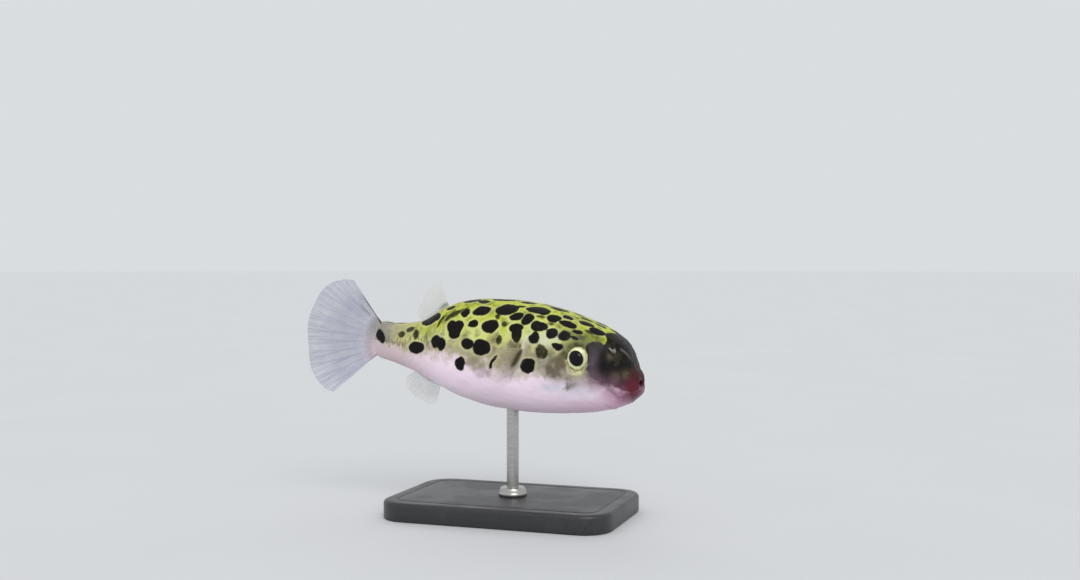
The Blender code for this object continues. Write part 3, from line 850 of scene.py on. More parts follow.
def skin_shape(look, eye):
    """The skin's points, and the values that its material paints by."""
    rows, travel = skin_rows()
    angles = skin_angles(look.columns)
    base = ring_surface(rows, angles)
    s = base[..., 0]
    degrees = np.degrees(np.abs(angles))[None, :] + 0 * s
    outside = travel[:, None] >= 0
    lip = np.where(outside, ease(s, 2.5, 2.0), ease(s, 1.9, 1.2))
    height = skin_relief(base, angles, degrees, lip, outside)
    points = base + grid_normals(base, True) * height[..., None]
    points[..., 1] *= 1 - 0.30 * ease(s, 57.0, 61.0)  # the stalk narrows towards the tail fin
    points[..., 0] -= ease(s, 4.6, 1.4) * (0.25 + 0.5 * bell(degrees - 132, 38))  # pouting lips
    points, fields = shape_lids(points, base, eye, outside)

    # Painted shade in the gill groove and in the creases of cheek and chin.
    fold_shades = [0.45 * path_band(base, GILL_GROOVE, 0.24, (0, 0.15), (0.7, 0.35)),
             0.5 * path_band(base, CHEEK_FOLD, 0.5, (0, 0.2), (1, 0.8))]
    fold_shades += [0.2 * path_band(base, path, 0.3, (0, 0.3)) for path in CHIN_FOLDS]
    fields |= {key: patches(base, marks) for key, marks in PATCHES.items()}
    fields |= {
        "back_along": s,
        "girth": degrees,
        "lift": 9.0 * bell(s - 23.0, 8.0),
        "black_edge": mark_distance(base, both_sides(BLACK_MARKS, 12) + CROWN_MARKS, 21),
        "olive_edge": mark_distance(base, both_sides(OLIVE_MARKS, 13), 24),
        "faint_edge": mark_distance(base, both_sides(FAINT_MARKS, 14), 27),
        "face": face_mask(base, s, degrees),
        # Painted highlight along the snout's crest.
        "crest": path_band(base, SNOUT_HIGHLIGHT_LINE, 0.26, (0, 0.2), (1, 0.7)),
        "chin": np.maximum(ease(s, 9.5, 3.5) * ease(degrees, 100, 112),
                           0.5 * ease(s, 21.0, 6.0) * ease(degrees, 118, 130)),
        "lip": lip,
        "mouth": ease(s, 1.2, 2.3) * ~outside,
        "cream": 0.9 * path_band(base, GILL_EDGE, 0.62, (0, 0.25), (1, 0.75)),
        # Painted shade on the body round the side fin's root.
        "fin_root_shade": path_band(base, FIN_ROOT_LINE, 2.0) * ease(s, 24.2, 25.4),
        "fold_shade": np.max(fold_shades, axis=0),
    }
    return points, fields


def skin_look(look, eye):
    """Skin colours from the back down, then the marks, the dark face, lids, lips and mouth."""
    made, tree, shader = new_material("puffer skin", Coat_Weight=0.02, Coat_Roughness=0.22,
                                      Specular_IOR_Level=0.12)
    at = skin_values(tree)
    ground = mark_colours(tree, look, at, ground_colours(tree, look, at))
    ground = layered(
        head_colours(tree, look, at, ground),
        (field(tree, "lid", 0.9), lid_colours(tree, look, eye, at)),
        (field(tree, "lip", 0.9), lip_colours(look, at)),
        (field(tree, "mouth"), look.mouth),
    )
    feed(shader, Base_Color=ground, Roughness=eased(at.fine, 0.2, 0.8, 0.36, 0.52),
         Normal=bumped(grouped(tree, "Skin Grain", size=0.42), 0.3, 0.05))
    return made


def skin_values(tree):
    """What the skin's colours share: places on the body, plain and made uneven, and clouds of noise.

    along is in mm back from the lips; girth is in degrees round from the top.
    """
    along, girth = field(tree, "back_along"), field(tree, "girth")
    cloud = grouped(tree, "Mottle", size=2.4, detail=3.0)
    fine = grouped(tree, "Mottle", size=0.9, detail=3.0, shift=0.4)
    level = pushed(girth, cloud, 18.0)
    return SimpleNamespace(along=along, rear=pushed(along, fine, 3.0), girth=girth, level=level,
                           side=calc("ADD", level, field(tree, "lift")), cloud=cloud, fine=fine,
                           blotch=calc("ADD", times(cloud, 0.68), times(fine, 0.32)))


def speckled(name, noise, *ramp):
    """A named value, thinned by noise along a ramp."""
    return times(field(noise.id_data, name), eased(noise, *ramp))


def ground_colours(tree, look, at):
    """Lime back, flank, belly and tail stalk, with the upright lines on the stalk."""
    lines = noise_at(tree, (at.along, times(at.girth, 0.02)), 2.3, 3.0)
    stalk = times(eased(at.along, 38.0, 47.0), eased(at.along, 60.0, 57.5),
                  eased(at.level, 34.0, 56.0), eased(at.level, 108.0, 84.0))
    return layered(
        look.lime,
        (eased(at.blotch, 0.46, 0.74, 0.0, 0.7), look.moss),
        (eased(at.level, 36.0, 62.0, 0.0, 0.8), look.cream),
        (eased(at.side, 60.0, 80.0, 0.0, 0.95), look.flank),
        (times(eased(at.blotch, 0.5, 0.75, 0.0, 0.5), eased(at.level, 50.0, 66.0),
               eased(at.level, 96.0, 84.0)), look.streak),
        (eased(at.rear, 47.0, 54.0, 0.0, 0.8), look.stalk),
        (eased(at.rear, 54.5, 58.5, 0.0, 0.85), look.tail_root),
        (times(eased(at.level, 74.0, 92.0, 0.0, 0.9), eased(at.along, 34.0, 44.0)),
         linear(204, 192, 176)),
        (eased(at.level, 82.0, 110.0),
         mixed(eased(at.rear, 42.0, 56.0), look.belly, look.tail_belly)),
        (times(stalk, eased(lines, 0.44, 0.64), 0.75), look.streak),
    )


def mark_colours(tree, look, at, ground):
    """The pale network round the marks, pale and grey patches, then the marks, faintest first."""
    black_edge = field(tree, "black_edge")
    rim = times(eased(black_edge, 0.8, 0.1), eased(at.level, 8.0, 46.0, 0.22, 0.75),
                eased(at.level, 100.0, 80.0), eased(at.along, 57.8, 55.8))
    faint = grouped(tree, "Mark Edge", distance=field(tree, "faint_edge"), wobble=1.5, size=1.9, softness=0.9)
    near_head = times(eased(at.girth, 60.0, 74.0), eased(at.along, 24.0, 20.0))
    olive = grouped(tree, "Mark Edge", distance=field(tree, "olive_edge"), wobble=look.wobble * 1.5, size=1.1,
                    softness=0.26)
    black, halo = (grouped(tree, "Mark Edge", distance=black_edge, wobble=look.wobble, size=1.2,
                           softness=softness) for softness in (0.13, 0.34))
    ground = layered(
        ground,
        (rim, mixed(eased(at.side, 56.0, 78.0), look.cream, look.beige)),
        (speckled("pale", at.fine, 0.1, 0.6, 0.55, 0.95), look.pale),
        (speckled("haze", at.cloud, 0.2, 0.8, 0.85, 0.45), linear(204, 204, 216)),
        (field(tree, "grey", 0.62), look.cheek),
        (times(faint, eased(near_head, 0.0, 1.0, 0.46, 0.78)),
         mixed(eased(at.girth, 44.0, 66.0), look.moss, look.brown)),
        (times(olive, eased(at.fine, 0.2, 0.9, 1.0, 0.9)), look.olive),
        (times(halo, 0.6), look.olive),
        (times(black, eased(at.fine, 0.8, 1.0, 1.0, 0.96)), look.black),
    )
    brow = times(speckled("brow", at.fine, 0.2, 1.0, 1.0, 0.7), calc("SUBTRACT", 1.0, black))
    return mixed(brow, ground, linear(72, 76, 40))


def head_colours(tree, look, at, ground):
    """The ring round the eye, the dark face with its spots, the cheek, chin and gill band, painted shade
    round the side fin's root and in the creases, and a painted highlight along the snout's crest.
    """
    face = field(tree, "face")
    face_edge = pushed(times(face, 1.3), at.blotch, 0.9)
    dark = layered(look.face, (eased(at.blotch, 0.48, 0.72, 0.0, 0.6), look.face_spots),
                   (speckled("tan", at.fine, 0.1, 0.8, 0.6, 1.0), look.tan))
    return layered(
        ground,
        (speckled("socket", at.fine, 0.1, 0.9, 0.95, 0.6), linear(58, 57, 40)),
        (times(eased(face_edge, 0.18, 0.8), eased(face, 0.0, 0.15)), dark),
        (speckled("violet", at.fine, 0.0, 1.0, 1.0, 0.75), look.violet),
        (field(tree, "dusk", 0.85), look.black),
        # Painted highlight along the snout's crest.
        (field(tree, "crest", 0.5), look.cheek),
        (field(tree, "chin", 0.85), look.chin),
        (speckled("mauve", at.fine, 0.0, 1.0, 0.75, 0.55), look.mauve),
        (speckled("red", at.fine, 0.0, 1.0, 0.9, 0.6), look.lips),
        # Painted shade on the body round the side fin's root.
        (field(tree, "fin_root_shade", 0.75), look.olive),
        (field(tree, "cream"), linear(228, 221, 196)),
        # Painted shade in the gill groove and in the creases of cheek and chin.
        (field(tree, "fold_shade", 0.75), linear(74, 50, 56)),
    )


def lid_colours(tree, look, eye, at):
    """Pale mottled lower lid with a broken whitish edge, olive above."""
    lid = layered(eye.lid, (eased(at.blotch, 0.42, 0.66, 0.0, 0.8), linear(150, 146, 100)),
                  (speckled("lid_edge", at.fine, 0.35, 0.75, 0.05, 0.5), linear(206, 206, 190)))
    return mixed(eased(field(tree, "lid_low"), 0.1, 0.7), look.olive, lid)


def lip_colours(look, at):
    """Lips: brown on top, crimson at the sides, mauve below."""
    return layered(
        linear(52, 32, 30),
        (eased(at.girth, 40.0, 84.0), look.lips),
        (eased(at.level, 116.0, 150.0), look.mauve),
        (eased(at.girth, 150.0, 176.0, 0.0, 0.2), look.chin),
        (times(eased(at.fine, 0.4, 0.9, 0.0, 0.4), eased(at.girth, 150.0, 110.0, 0.3, 1.0)), look.mouth),
    )


class PUFFER_OT_skin(bpy.types.Operator):
    """One closed skin from the back of the mouth over the lips to the root of the tail fin"""

    bl_idname = "puffer.skin"
    bl_label = "Skin"

    def execute(self, context):
        look, eye = context.scene.puffer_skin, context.scene.puffer_eye
        grid, fields = skin_shape(look, eye)
        points, faces = closed_roll(grid)
        ends = {key: np.concatenate([value.ravel(), [value[0].mean(), value[-1].mean()]])
                for key, value in fields.items()}
        add_piece("skin", points, faces, skin_look(look, eye),
                  ("head", "trunk", "tail_stalk", "upper_lip", "lower_lip"), ends)
        return {"FINISHED"}


# ------------------------------------------------------------------ eyes


def turned(profile, segments, middle, out, back, up):
    """A closed surface of revolution: profile of (radius, height) turned about the line out of middle."""
    turn = full_turn(segments)
    ring = np.cos(turn)[:, None] * back + np.sin(turn)[:, None] * up
    radius, rise = np.asarray(profile, float).T
    grid = middle + radius[:, None, None] * ring + rise[:, None, None] * out
    points, faces = closed_roll(grid)
    if np.dot(np.cross(back, up), out) > 0:
        return points, faces
    return points, flipped(faces)


def globe_profile(radius, pupil):
    """A ball whose front stands out a little more over the ring, with a low bulge over the pupil."""
    angle = np.linspace(math.pi, 0, EYE_ROWS + 2)[1:-1]
    reach = radius * np.sin(angle)
    front = angle < math.pi / 2
    rise = front * (0.05 * bell(reach - (pupil + 0.5), 0.35) + 0.06 * ease(reach, pupil, pupil - 0.5))
    return np.stack([np.sin(angle), np.cos(angle)], axis=-1) * (radius - 0.05 + rise)[:, None]


def globe_look(eye):
    """Bright ring with fine lines towards the pupil, painted shade at its sides and front, a dull outer edge
    and a black pupil, clear coated.
    """
    made, tree, shader = new_material("puffer eye", Coat_Weight=0.55, Coat_Roughness=0.04, Coat_IOR=1.33,
                                      Specular_IOR_Level=0.1)
    reach, up = field(tree, "reach"), field(tree, "up")
    ray_x = field(tree, "ray_x")
    lines = noise_at(tree, (ray_x, field(tree, "ray_y"), times(reach, 0.2)), 7.0, 4.0)
    cloud = grouped(tree, "Mottle", size=0.9, detail=3.0)
    # Painted shade towards the ring's sides.
    aside = eased(calc("ABSOLUTE", ray_x), 0.35, 0.95, 0.0, 0.5)
    outer = pushed(field(tree, "gap"), cloud, 0.5)
    edge = pushed(field(tree, "pupil"), lines, 0.10)
    pupil = eased(edge, 0.03, -0.03)
    ring = layered(
        eye.iris,
        (eased(lines, 0.45, 0.75, 0.0, 0.3), eye.rim),
        (times(eased(cloud, 0.5, 1.0), 0.4), linear(252, 252, 236)),
        (eased(up, -0.4, -2.3, 0.0, 0.3), eye.rim),
        # Painted shade: the ring darker at its sides and at its front.
        (times(aside, eased(reach, 1.5, 2.1)), linear(178, 176, 126)),
        (eased(ray_x, -0.15, -0.9, 0.0, 0.55), linear(168, 166, 122)),
        (eased(outer, -0.5, -0.1, 0.0, 0.5), linear(164, 164, 112)),
        (eased(outer, -0.25, 0.12, 0.0, 0.85), linear(112, 110, 72)),
        (eased(edge, 0.16, 0.02, 0.0, 0.8), linear(112, 104, 52)),
        (pupil, linear(7, 5, 9)),
    )
    feed(shader, Base_Color=ring, Roughness=eased(pupil, 0.0, 1.0, 0.4, 0.15))
    return made


class PUFFER_OT_eyes(bpy.types.Operator):
    """Both eyeballs with their rings and pupils"""

    bl_idname = "puffer.eyes"
    bl_label = "Eyes"

    def execute(self, context):
        eye = context.scene.puffer_eye
        iris = globe_look(eye)
        for way, side in SIDES:
            middle, radius, out, back, up = eye_frame(way)
            points, faces = turned(globe_profile(radius, eye.pupil), EYE_COLUMNS, middle, out, back, up)
            offset = points - middle
            across, above = offset @ back, offset @ up
            ahead = offset @ out > 0
            wide = np.hypot(across, above)
            # The pupil is a little taller than wide, leans and lies a little behind the middle.
            behind, over = across - PUPIL_BACK, above - PUPIL_ABOVE
            tall = over * math.cos(PUPIL_LEAN) + behind * math.sin(PUPIL_LEAN)
            broad = behind * math.cos(PUPIL_LEAN) - over * math.sin(PUPIL_LEAN)
            pupil = np.hypot(broad / PUPIL_SHARES[0], tall / PUPIL_SHARES[1]) - eye.pupil
            open_here = lid_opening(eye, above / (wide + 1e-6))
            add_piece("eyeball_" + side, points, faces, iris, ("eye_" + side,), {
                "reach": np.where(ahead, wide, FAR),
                "gap": np.where(ahead, wide - open_here, FAR),
                "pupil": np.where(ahead, pupil, FAR),
                "ray_x": across / np.hypot(across, above + 1e-6),
                "ray_y": above / np.hypot(across, above + 1e-6),
                "up": above})
        return {"FINISHED"}


# ------------------------------------------------------------------ nostrils and beak


class PUFFER_OT_nostrils(bpy.types.Operator):
    """The forked nasal flap on each side of the snout"""

    bl_idname = "puffer.nostrils"
    bl_label = "Nostrils"

    def execute(self, context):
        made, tree, shader = new_material("nasal flap", Roughness=0.45, Coat_Weight=0.2,
                                          Subsurface_Weight=0.1, Subsurface_Scale=0.0006)
        cloud = grouped(tree, "Mottle", size=0.5, detail=3.0)
        tip = eased(field(tree, "tip"), 0.15, 0.8)
        colour = mixed(tip, linear(52, 47, 42), linear(150, 146, 132))
        colour = mixed(eased(cloud, 0.5, 0.95, 0.0, 0.5), colour, linear(84, 78, 70))
        feed(shader, Base_Color=colour,
             Normal=bumped(grouped(tree, "Skin Grain", size=0.3), 0.3, 0.03))
        for way, side in SIDES:
            root = on_skin(NOSTRIL_PLACE[0], way * NOSTRIL_PLACE[1])
            all_points, all_faces, tips = [], [], []
            for lean in (math.radians(16), math.radians(-20)):
                grid, tip_share = nasal_lobe(root, way, lean)
                points, faces = closed_roll(grid)
                if way < 0:
                    faces = flipped(faces)
                all_faces += [[i + sum(map(len, all_points)) for i in face] for face in faces]
                all_points.append(points)
                tips.append(tip_share)
            add_piece("nasal_flap_" + side, np.vstack(all_points), all_faces, made,
                      ("nostril_" + side,), {"tip": np.concatenate(tips)})
        return {"FINISHED"}


def nasal_lobe(root, way, lean):
    """One lobe: rings that widen from a narrow root, flatten and close at a round tip, along a bent line."""
    share = np.linspace(0.0, 1.0, LOBE_ROWS)
    axis = np.array([-math.sin(lean), way * math.sin(0.7) * math.cos(lean), math.cos(0.7) * math.cos(lean)])
    bend = np.array([0.35 - lean * 0.5, 0, 0])
    line = root + axis * ((share * 1.95 - 0.45)[:, None]) + bend * (share**2)[:, None]
    wide = (0.20 + 0.13 * np.sin(math.pi * share**0.8)) * np.sqrt(np.maximum(1 - share**7, 0.0004))
    thick = wide * (0.85 - 0.45 * share)
    along = backward(axis)
    outward = np.cross(axis, along)
    turn = full_turn(LOBE_COLUMNS)
    grid = line[:, None] + wide[:, None, None] * np.cos(turn)[:, None] * along \
        + thick[:, None, None] * np.sin(turn)[:, None] * outward * way
    tips = np.repeat(share, LOBE_COLUMNS)
    return grid, np.concatenate([tips, [0, 1]])


class PUFFER_OT_beak(bpy.types.Operator):
    """The fused tooth plates between the parted lips"""

    bl_idname = "puffer.beak"
    bl_label = "Beak"

    def execute(self, context):
        made, tree, shader = new_material("beak", Roughness=0.28, Coat_Weight=0.3, Coat_Roughness=0.1,
                                          Subsurface_Weight=0.1, Subsurface_Scale=0.0006)
        cloud = grouped(tree, "Mottle", size=0.6, detail=3.0)
        colour = mixed(eased(cloud, 0.3, 0.9), linear(232, 224, 196), linear(206, 190, 150))
        colour = mixed(eased(field(tree, "bite"), 0.35, 0.0), colour, linear(244, 240, 222))
        feed(shader, Base_Color=colour)
        for name, sign in (("beak_upper", 1), ("beak_lower", -1)):
            grid, bite = beak_plate(sign)
            points, faces = closed_roll(grid)
            add_piece(name + "_plate", points, faces, made, (name,), {"bite": bite})
        return {"FINISHED"}


def beak_plate(sign):
    """A bowed bar across the mouth, with a middle seam; its section is a rounded wedge."""
    across = np.linspace(-1, 1, BEAK_ROWS)
    turn = full_turn(BEAK_COLUMNS)
    thick = 0.24 * np.sqrt(np.maximum(1 - np.abs(across) ** 3, 0.02))
    tall = 0.34 * np.sqrt(np.maximum(1 - 0.8 * np.abs(across) ** 3, 0.02))
    seam = 1 - 0.16 * bell(across, 0.035)
    front = 1.95 + 0.4 * across**2
    up = np.cos(turn)
    depth = np.sin(turn) * (0.55 + 0.45 * ease(up, -1, 0.2))
    s = front[:, None] + (thick * seam)[:, None] * depth
    z = sign * ((0.56 - 0.16 * across**2)[:, None] + (tall * seam)[:, None] * up)
    y = across[:, None] * 1.35 + 0 * z
    grid = np.stack([s, y, z], axis=-1)
    if sign > 0:
        grid = grid[:, ::-1]
        up = up[::-1]
    bite = np.concatenate([np.tile((up + 1) / 2, len(across)), [1, 1]])
    return grid, bite


# ------------------------------------------------------------------ fins


def fin_surface(fin, across, along, way):
    """Middle surface of a fin: rays that fan out from a root line, in level mm.

    A ray at share a starts at that share of the root line, has the angle at that share of its range
    and a length on a curve through three lengths; its tip bends out by bow times along squared.
    """
    mirror = np.array([1, way, 1])
    start, end = (np.array(point) * mirror for point in fin["root"])
    swing = math.radians(fin["out"]) * way
    back = np.array([math.cos(swing), math.sin(swing), 0.0])
    aside = np.array([-math.sin(swing), math.cos(swing), 0.0]) * way
    up = np.array([0.0, 0.0, 1.0])
    angle = np.radians(fin["angles"][0] + (fin["angles"][1] - fin["angles"][0]) * across)
    first, middle, last = fin["lengths"]
    arch = 4 * across * (1 - across)
    length = first + (last - first) * across + (middle - (first + last) / 2) * arch
    length = length * (1 - CORNER_SHARE * np.abs(2 * across - 1) ** CORNER_POWER)
    return (
        start + (end - start) * across[..., None]
        + (length * along * np.cos(angle))[..., None] * back
        + (length * along * np.sin(angle))[..., None] * up
        + (fin["bow"] * length * along**2)[..., None] * aside
    )


def ray_pattern(across, along, rays):
    """Height of the rays, 0 to 1: bells across the fin that fork once and again towards the edge."""
    place = across * rays - 0.5
    centre = np.clip(np.round(place), 0, rays - 1)
    off = place - centre
    fork = 0.24 * ease(along, 0.32, 1.0)
    again = 0.11 * ease(along, 0.62, 1.05)
    width = 0.12 - 0.05 * along
    height = np.zeros_like(off)
    for first in (-1, 1):
        for second in (-1, 1):
            height = np.maximum(height, bell(off - first * fork - second * again, width))
    return height


def fin_dark_and_shade(name, across, along):
    """Dark part of a fin: the tail fin's upper edge, and the roots of the back and side fins; at the side
    fins it is partly their own dark root and partly painted shade.
    """
    if name == "caudal_fin":
        inner = 0.45 * bell(across - 0.11, 0.03) * ease(along, 0.1, 0.3) * ease(along, 0.7, 0.4)
        return np.maximum(0.8 * bell(across, 0.022) * ease(along, 0.95, 0.4), inner)
    if name == "dorsal_fin":
        return 0.5 * bell(across - 0.13, 0.24) * bell(along - 0.27, 0.09)
    # The side fins' dark root: partly their own dark base, partly painted shade.
    if name == "pectoral_fin":
        slanted = bell(along - 0.12 - 0.26 * across, 0.15)
        return 0.76 * slanted * ease(across, -0.1, 0.15) * ease(across, 0.95, 0.6)
    return 0 * across


def fin_shape(name, settings, way=1):
    """A fin's closed shell and the values its material paints by."""
    fin = FINS[name]
    rays, columns, rows, wave, waves = FIN_FORMS[name]
    across, along = np.meshgrid(np.linspace(0, 1, columns), np.linspace(0, 1, rows) ** 1.15, indexing="ij")
    rays_here = ray_pattern(across, along, rays)
    scallop = 1 - 0.006 * (1 - rays_here) * ease(along, 0.8, 1.0) - 0.008 * np.sin(across * 23) * along**4
    middle = fin_surface(fin, across, along * scallop, way)
    normal = grid_normals(middle, False)
    ribs = 0.035 * (rays_here - 0.5) * ease(along, 0.1, 0.5)
    sway = wave * along**2 * np.sin(2 * math.pi * (waves * across + 0.35 * along))
    middle = middle + normal * (sway + ribs)[..., None]
    normal = grid_normals(middle, False)
    half = settings.membrane_half + settings.ray_half * rays_here * (1 - 0.72 * along)
    knots = 1 + 0.12 * np.cos(along * 150) * rays_here
    half = half * knots + ROOT_SWELL[name] * bell(along, 0.13)
    border = np.minimum(np.minimum(across, 1 - across) * 40, (1 - along) * 30)
    half *= 0.3 + 0.7 * np.sqrt(np.clip(border, 0, 1))
    points, faces = thin_shell(middle, normal, half)
    fields = {"ray": rays_here, "outward": along, "across": across, "dark_and_shade": fin_dark_and_shade(name, across, along)}
    return points, faces, {key: np.tile(value.ravel(), 2) for key, value in fields.items()}


def fin_look(name, membrane, ray, root_pair, dark_and_shade_colour, solid, root_end, fading=0.14):
    """Clear membrane and denser rays, cloudier at the root, with fine lines along the rays.

    membrane and root_pair each hold two colours, for the first ray and for the last. solid is how much of
    the light the membrane stops, from 0 to 1, and root_end how far out the flesh of the root reaches, as
    a share of the rays. fading is taken off solid at the outer edge.
    """
    made, tree, shader = new_material(name, Roughness=0.42, Specular_IOR_Level=0.3)
    rays, out, across = field(tree, "ray"), field(tree, "outward"), field(tree, "across")
    dark_and_shade = field(tree, "dark_and_shade")
    fibre = noise_at(tree, (times(across, 70.0), times(out, 3.0)), 1.0, 3.0)
    cloud = grouped(tree, "Mottle", size=3.0, detail=2.0)
    colour = layered(
        mixed(eased(across, 0.3, 1.0), *membrane),
        (eased(rays, 0.15, 0.9), ray),
        (eased(fibre, 0.45, 0.75, 0.0, 0.35), ray),
        (eased(out, 0.30, 0.05), mixed(eased(across, 0.2, 0.75), *root_pair)),
        # Dark parts of the fin; at the side fins' root partly painted shade.
        (eased(dark_and_shade, 0.1, 0.7), dark_and_shade_colour),
    )
    root = eased(out, 0.02, root_end, 1.0, 0.0)
    body = pushed(eased(rays, 0.1, 0.9, solid, solid + RAY_EXTRA), cloud, 0.08)
    body = pushed(body, fibre, 0.3)
    body = calc("SUBTRACT", body, eased(out, 0.5, 1.0, 0.0, fading))
    alpha = calc("MAXIMUM", calc("MAXIMUM", body, root), dark_and_shade)
    feed(shader, Base_Color=colour, Alpha=alpha, Normal=bumped(fibre, 0.15, 0.04))
    return made


class PUFFER_OT_fins(bpy.types.Operator):
    """The tail fin, the back and belly fins and the pair behind the gills"""

    bl_idname = "puffer.fins"
    bl_label = "Fins"

    def execute(self, context):
        fin, skin = context.scene.puffer_fin, context.scene.puffer_skin
        lilac, straw, tan, rose = (linear(*screen) for screen in (
            (186, 182, 196), (196, 196, 146), (186, 178, 146), (196, 174, 190)))
        tail = fin_look("tail fin", (linear(132, 132, 158), fin.tail), fin.tail_ray,
                        (linear(158, 152, 146), linear(204, 184, 190)), skin.olive, fin.tail_solid, 0.34)
        back = fin_look("back fin", (fin.small, fin.small), fin.small_ray, (straw, straw), skin.olive,
                        fin.small_solid, 0.5)
        belly = fin_look("belly fin", (lilac, lilac), fin.small_ray, (rose, rose), skin.olive,
                         fin.small_solid, 0.4)
        # The side fins' dark root colour is partly painted shade.
        side_look = fin_look("side fins", (fin.side, linear(212, 196, 198)), fin.side_ray, (tan, tan),
                             linear(72, 64, 40), fin.side_solid, 0.3, 0.26)
        for name, look in (("caudal_fin", tail), ("dorsal_fin", back), ("anal_fin", belly)):
            points, faces, fields = fin_shape(name, fin)
            add_piece(name + "_web", points, faces, look, (name,), fields)
        for way, side in SIDES:
            points, faces, fields = fin_shape("pectoral_fin", fin, way)
            node = "pectoral_fin_" + side
            add_piece(node + "_web", points, faces, side_look, (node,), fields)
        return {"FINISHED"}


# ------------------------------------------------------------------ stand


def plate_rings(box, corner, profile):
    """Rings of a plate: its outline, a rectangle with round corners, pulled in and lifted by a profile."""
    (x0, y0, _), (x1, y1, _) = box
    quarter = np.linspace(0, math.pi / 2, 13)
    rings = []
    for inset, z in profile:
        radius = max(corner - inset, 0.05)
        outline = []
        for turn, sx, sy in ((0, 1, 1), (1, -1, 1), (2, -1, -1), (3, 1, -1)):
            angle = quarter + turn * math.pi / 2
            cx = (x1 - inset - radius) if sx > 0 else (x0 + inset + radius)
            cy = (y1 - inset - radius) if sy > 0 else (y0 + inset + radius)
            corner_line = [cx + radius * np.cos(angle), cy + radius * np.sin(angle), z + 0 * angle]
            outline.append(np.stack(corner_line, axis=-1))
        rings.append(np.concatenate(outline))
    return np.array(rings)


def paint_look(settings):
    """Satin powder coat: fine lumps all over, with faint pale scuffs where the noise peaks."""
    made, tree, shader = new_material("powder coat", Coat_Weight=0.15, Coat_Roughness=0.3)
    scuff = grouped(tree, "Mottle", size=9.0, detail=6.0)
    fine = grouped(tree, "Mottle", size=0.8, detail=3.0)
    colour = mixed(eased(fine, 0.2, 0.9), shaded(settings.paint, 0.8), settings.paint)
    colour = mixed(eased(scuff, 0.6, 1.0, 0.0, 0.25), colour, shaded(settings.paint, 2.2))
    lumps = grouped(tree, "Skin Grain", size=0.35)
    feed(shader, Base_Color=colour, Roughness=eased(scuff, 0.3, 0.9, 0.38, 0.5),
         Normal=bumped(lumps, 0.25, 0.03))
    return made


def metal_look(settings):
    """Brushed steel: fine rings round the rod and soft smudges."""
    made, tree, shader = new_material("brushed steel", Metallic=1.0)
    place = put(tree, "ShaderNodeTexCoord").outputs["Object"]
    rings = joined("ShaderNodeMapping", {"Vector": place, "Scale": (0.05, 0.05, 1.0)}).outputs[0]
    brush = joined("ShaderNodeTexNoise", {"Vector": rings, "Scale": 9000.0, "Detail": 3.0}).outputs["Fac"]
    smudge = grouped(tree, "Mottle", size=4.0, detail=3.0)
    colour = mixed(eased(brush, 0.3, 0.7), shaded(settings.metal, 0.8), settings.metal)
    rough = calc("ADD", eased(brush, 0.3, 0.7, 0.22, 0.34), times(smudge, 0.08))
    feed(shader, Base_Color=colour, Roughness=rough, Normal=bumped(brush, 0.12, 0.02))
    return made


class PUFFER_OT_stand(bpy.types.Operator):
    """The base, its collar and the rod that carries the fish"""

    bl_idname = "puffer.stand"
    bl_label = "Stand"

    def execute(self, context):
        settings = context.scene.puffer_stand
        paint, metal = paint_look(settings), metal_look(settings)
        box = [[value / MM for value in corner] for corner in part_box("stand_base")]
        top = box[1][2]
        bow = np.linspace(0, math.pi / 2, 8)
        profile = [(0.5, 0.0), (0.15, 0.15), (0.0, 0.45)]
        profile += [(BASE_EDGE * (1 - math.cos(a)), top - BASE_EDGE + BASE_EDGE * math.sin(a)) for a in bow]
        profile += [(2.6, top), (2.7, top - 0.02), (2.85, top - 0.18), (3.0, top - 0.18), (3.15, top - 0.02),
                    (3.25, top), (5.5, top)]
        points, faces = closed_roll(plate_rings(box, BASE_CORNER, profile))
        add_room_piece("base_plate", points * MM, faces, paint, ("stand_base",))
        # The collar and the rod reach a little past their nodes, into the base and the belly.
        for node, name, extra in (("stand_collar", "rod_collar", (0.3, 0.0)),
                                  ("stand_rod", "carrying_rod", (1.2, 0.5))):
            low, high = (np.array(corner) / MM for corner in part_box(node))
            middle = (low + high) / 2
            radius = float(high[0] - low[0]) / 2
            bottom, top = low[2] - extra[0], high[2] + extra[1]
            if node == "stand_collar":
                lines = [(radius, bottom), (radius, low[2] + 0.35), (radius - 0.12, low[2] + 0.6),
                         (radius * 0.9, top - 0.35), (radius * 0.84, top - 0.08), (radius * 0.76, top)]
                lines = np.vstack([lines[:1], smooth_rows(lines[1:], 6)])
            else:
                lines = np.array([(radius, bottom), (radius, bottom + 0.2), (radius, (bottom + top) / 2),
                                  (radius, top - 0.2), (radius - 0.05, top)])
            points, faces = turned(lines, 72, np.array([middle[0], middle[1], 0.0]), np.array([0, 0, 1.0]),
                                   np.array([1.0, 0, 0]), np.array([0, 1.0, 0]))
            add_room_piece(name, points * MM, faces, metal, (node,))
        return {"FINISHED"}


# ------------------------------------------------------------------ stage


def floor_disc():
    """A wide flat floor: rings of points round the origin, further apart as they go out."""
    turn = full_turn(FLOOR_COLUMNS)
    radius = (FLOOR_RADIUS * np.linspace(0.1, 1.0, FLOOR_ROWS) ** 2)[:, None]
    grid = np.stack([radius * np.cos(turn), radius * np.sin(turn), 0 * radius * turn], axis=-1)
    faces = sheet_faces(len(radius), len(turn), True)[:, ::-1].tolist()
    faces += [list(range(len(turn)))]
    return grid.reshape(-1, 3), faces


def add_sun(name, heading, height, soft, power, glints=True):
    """Even light from a heading round the fish (0 is its head) and a height, as wide as soft, in degrees.

    Without glints it is not mirrored in eyes and metal.
    """
    lamp = bpy.data.lights.new(name, "SUN")
    lamp.angle = math.radians(soft)
    lamp.energy = power
    holder = placed(name, lamp)
    holder.visible_glossy = glints
    turn, rise = math.radians(heading), math.radians(height)
    towards = Vector((math.cos(turn) * math.cos(rise), math.sin(turn) * math.cos(rise), math.sin(rise)))
    holder.rotation_euler = towards.to_track_quat("Z", "Y").to_euler()


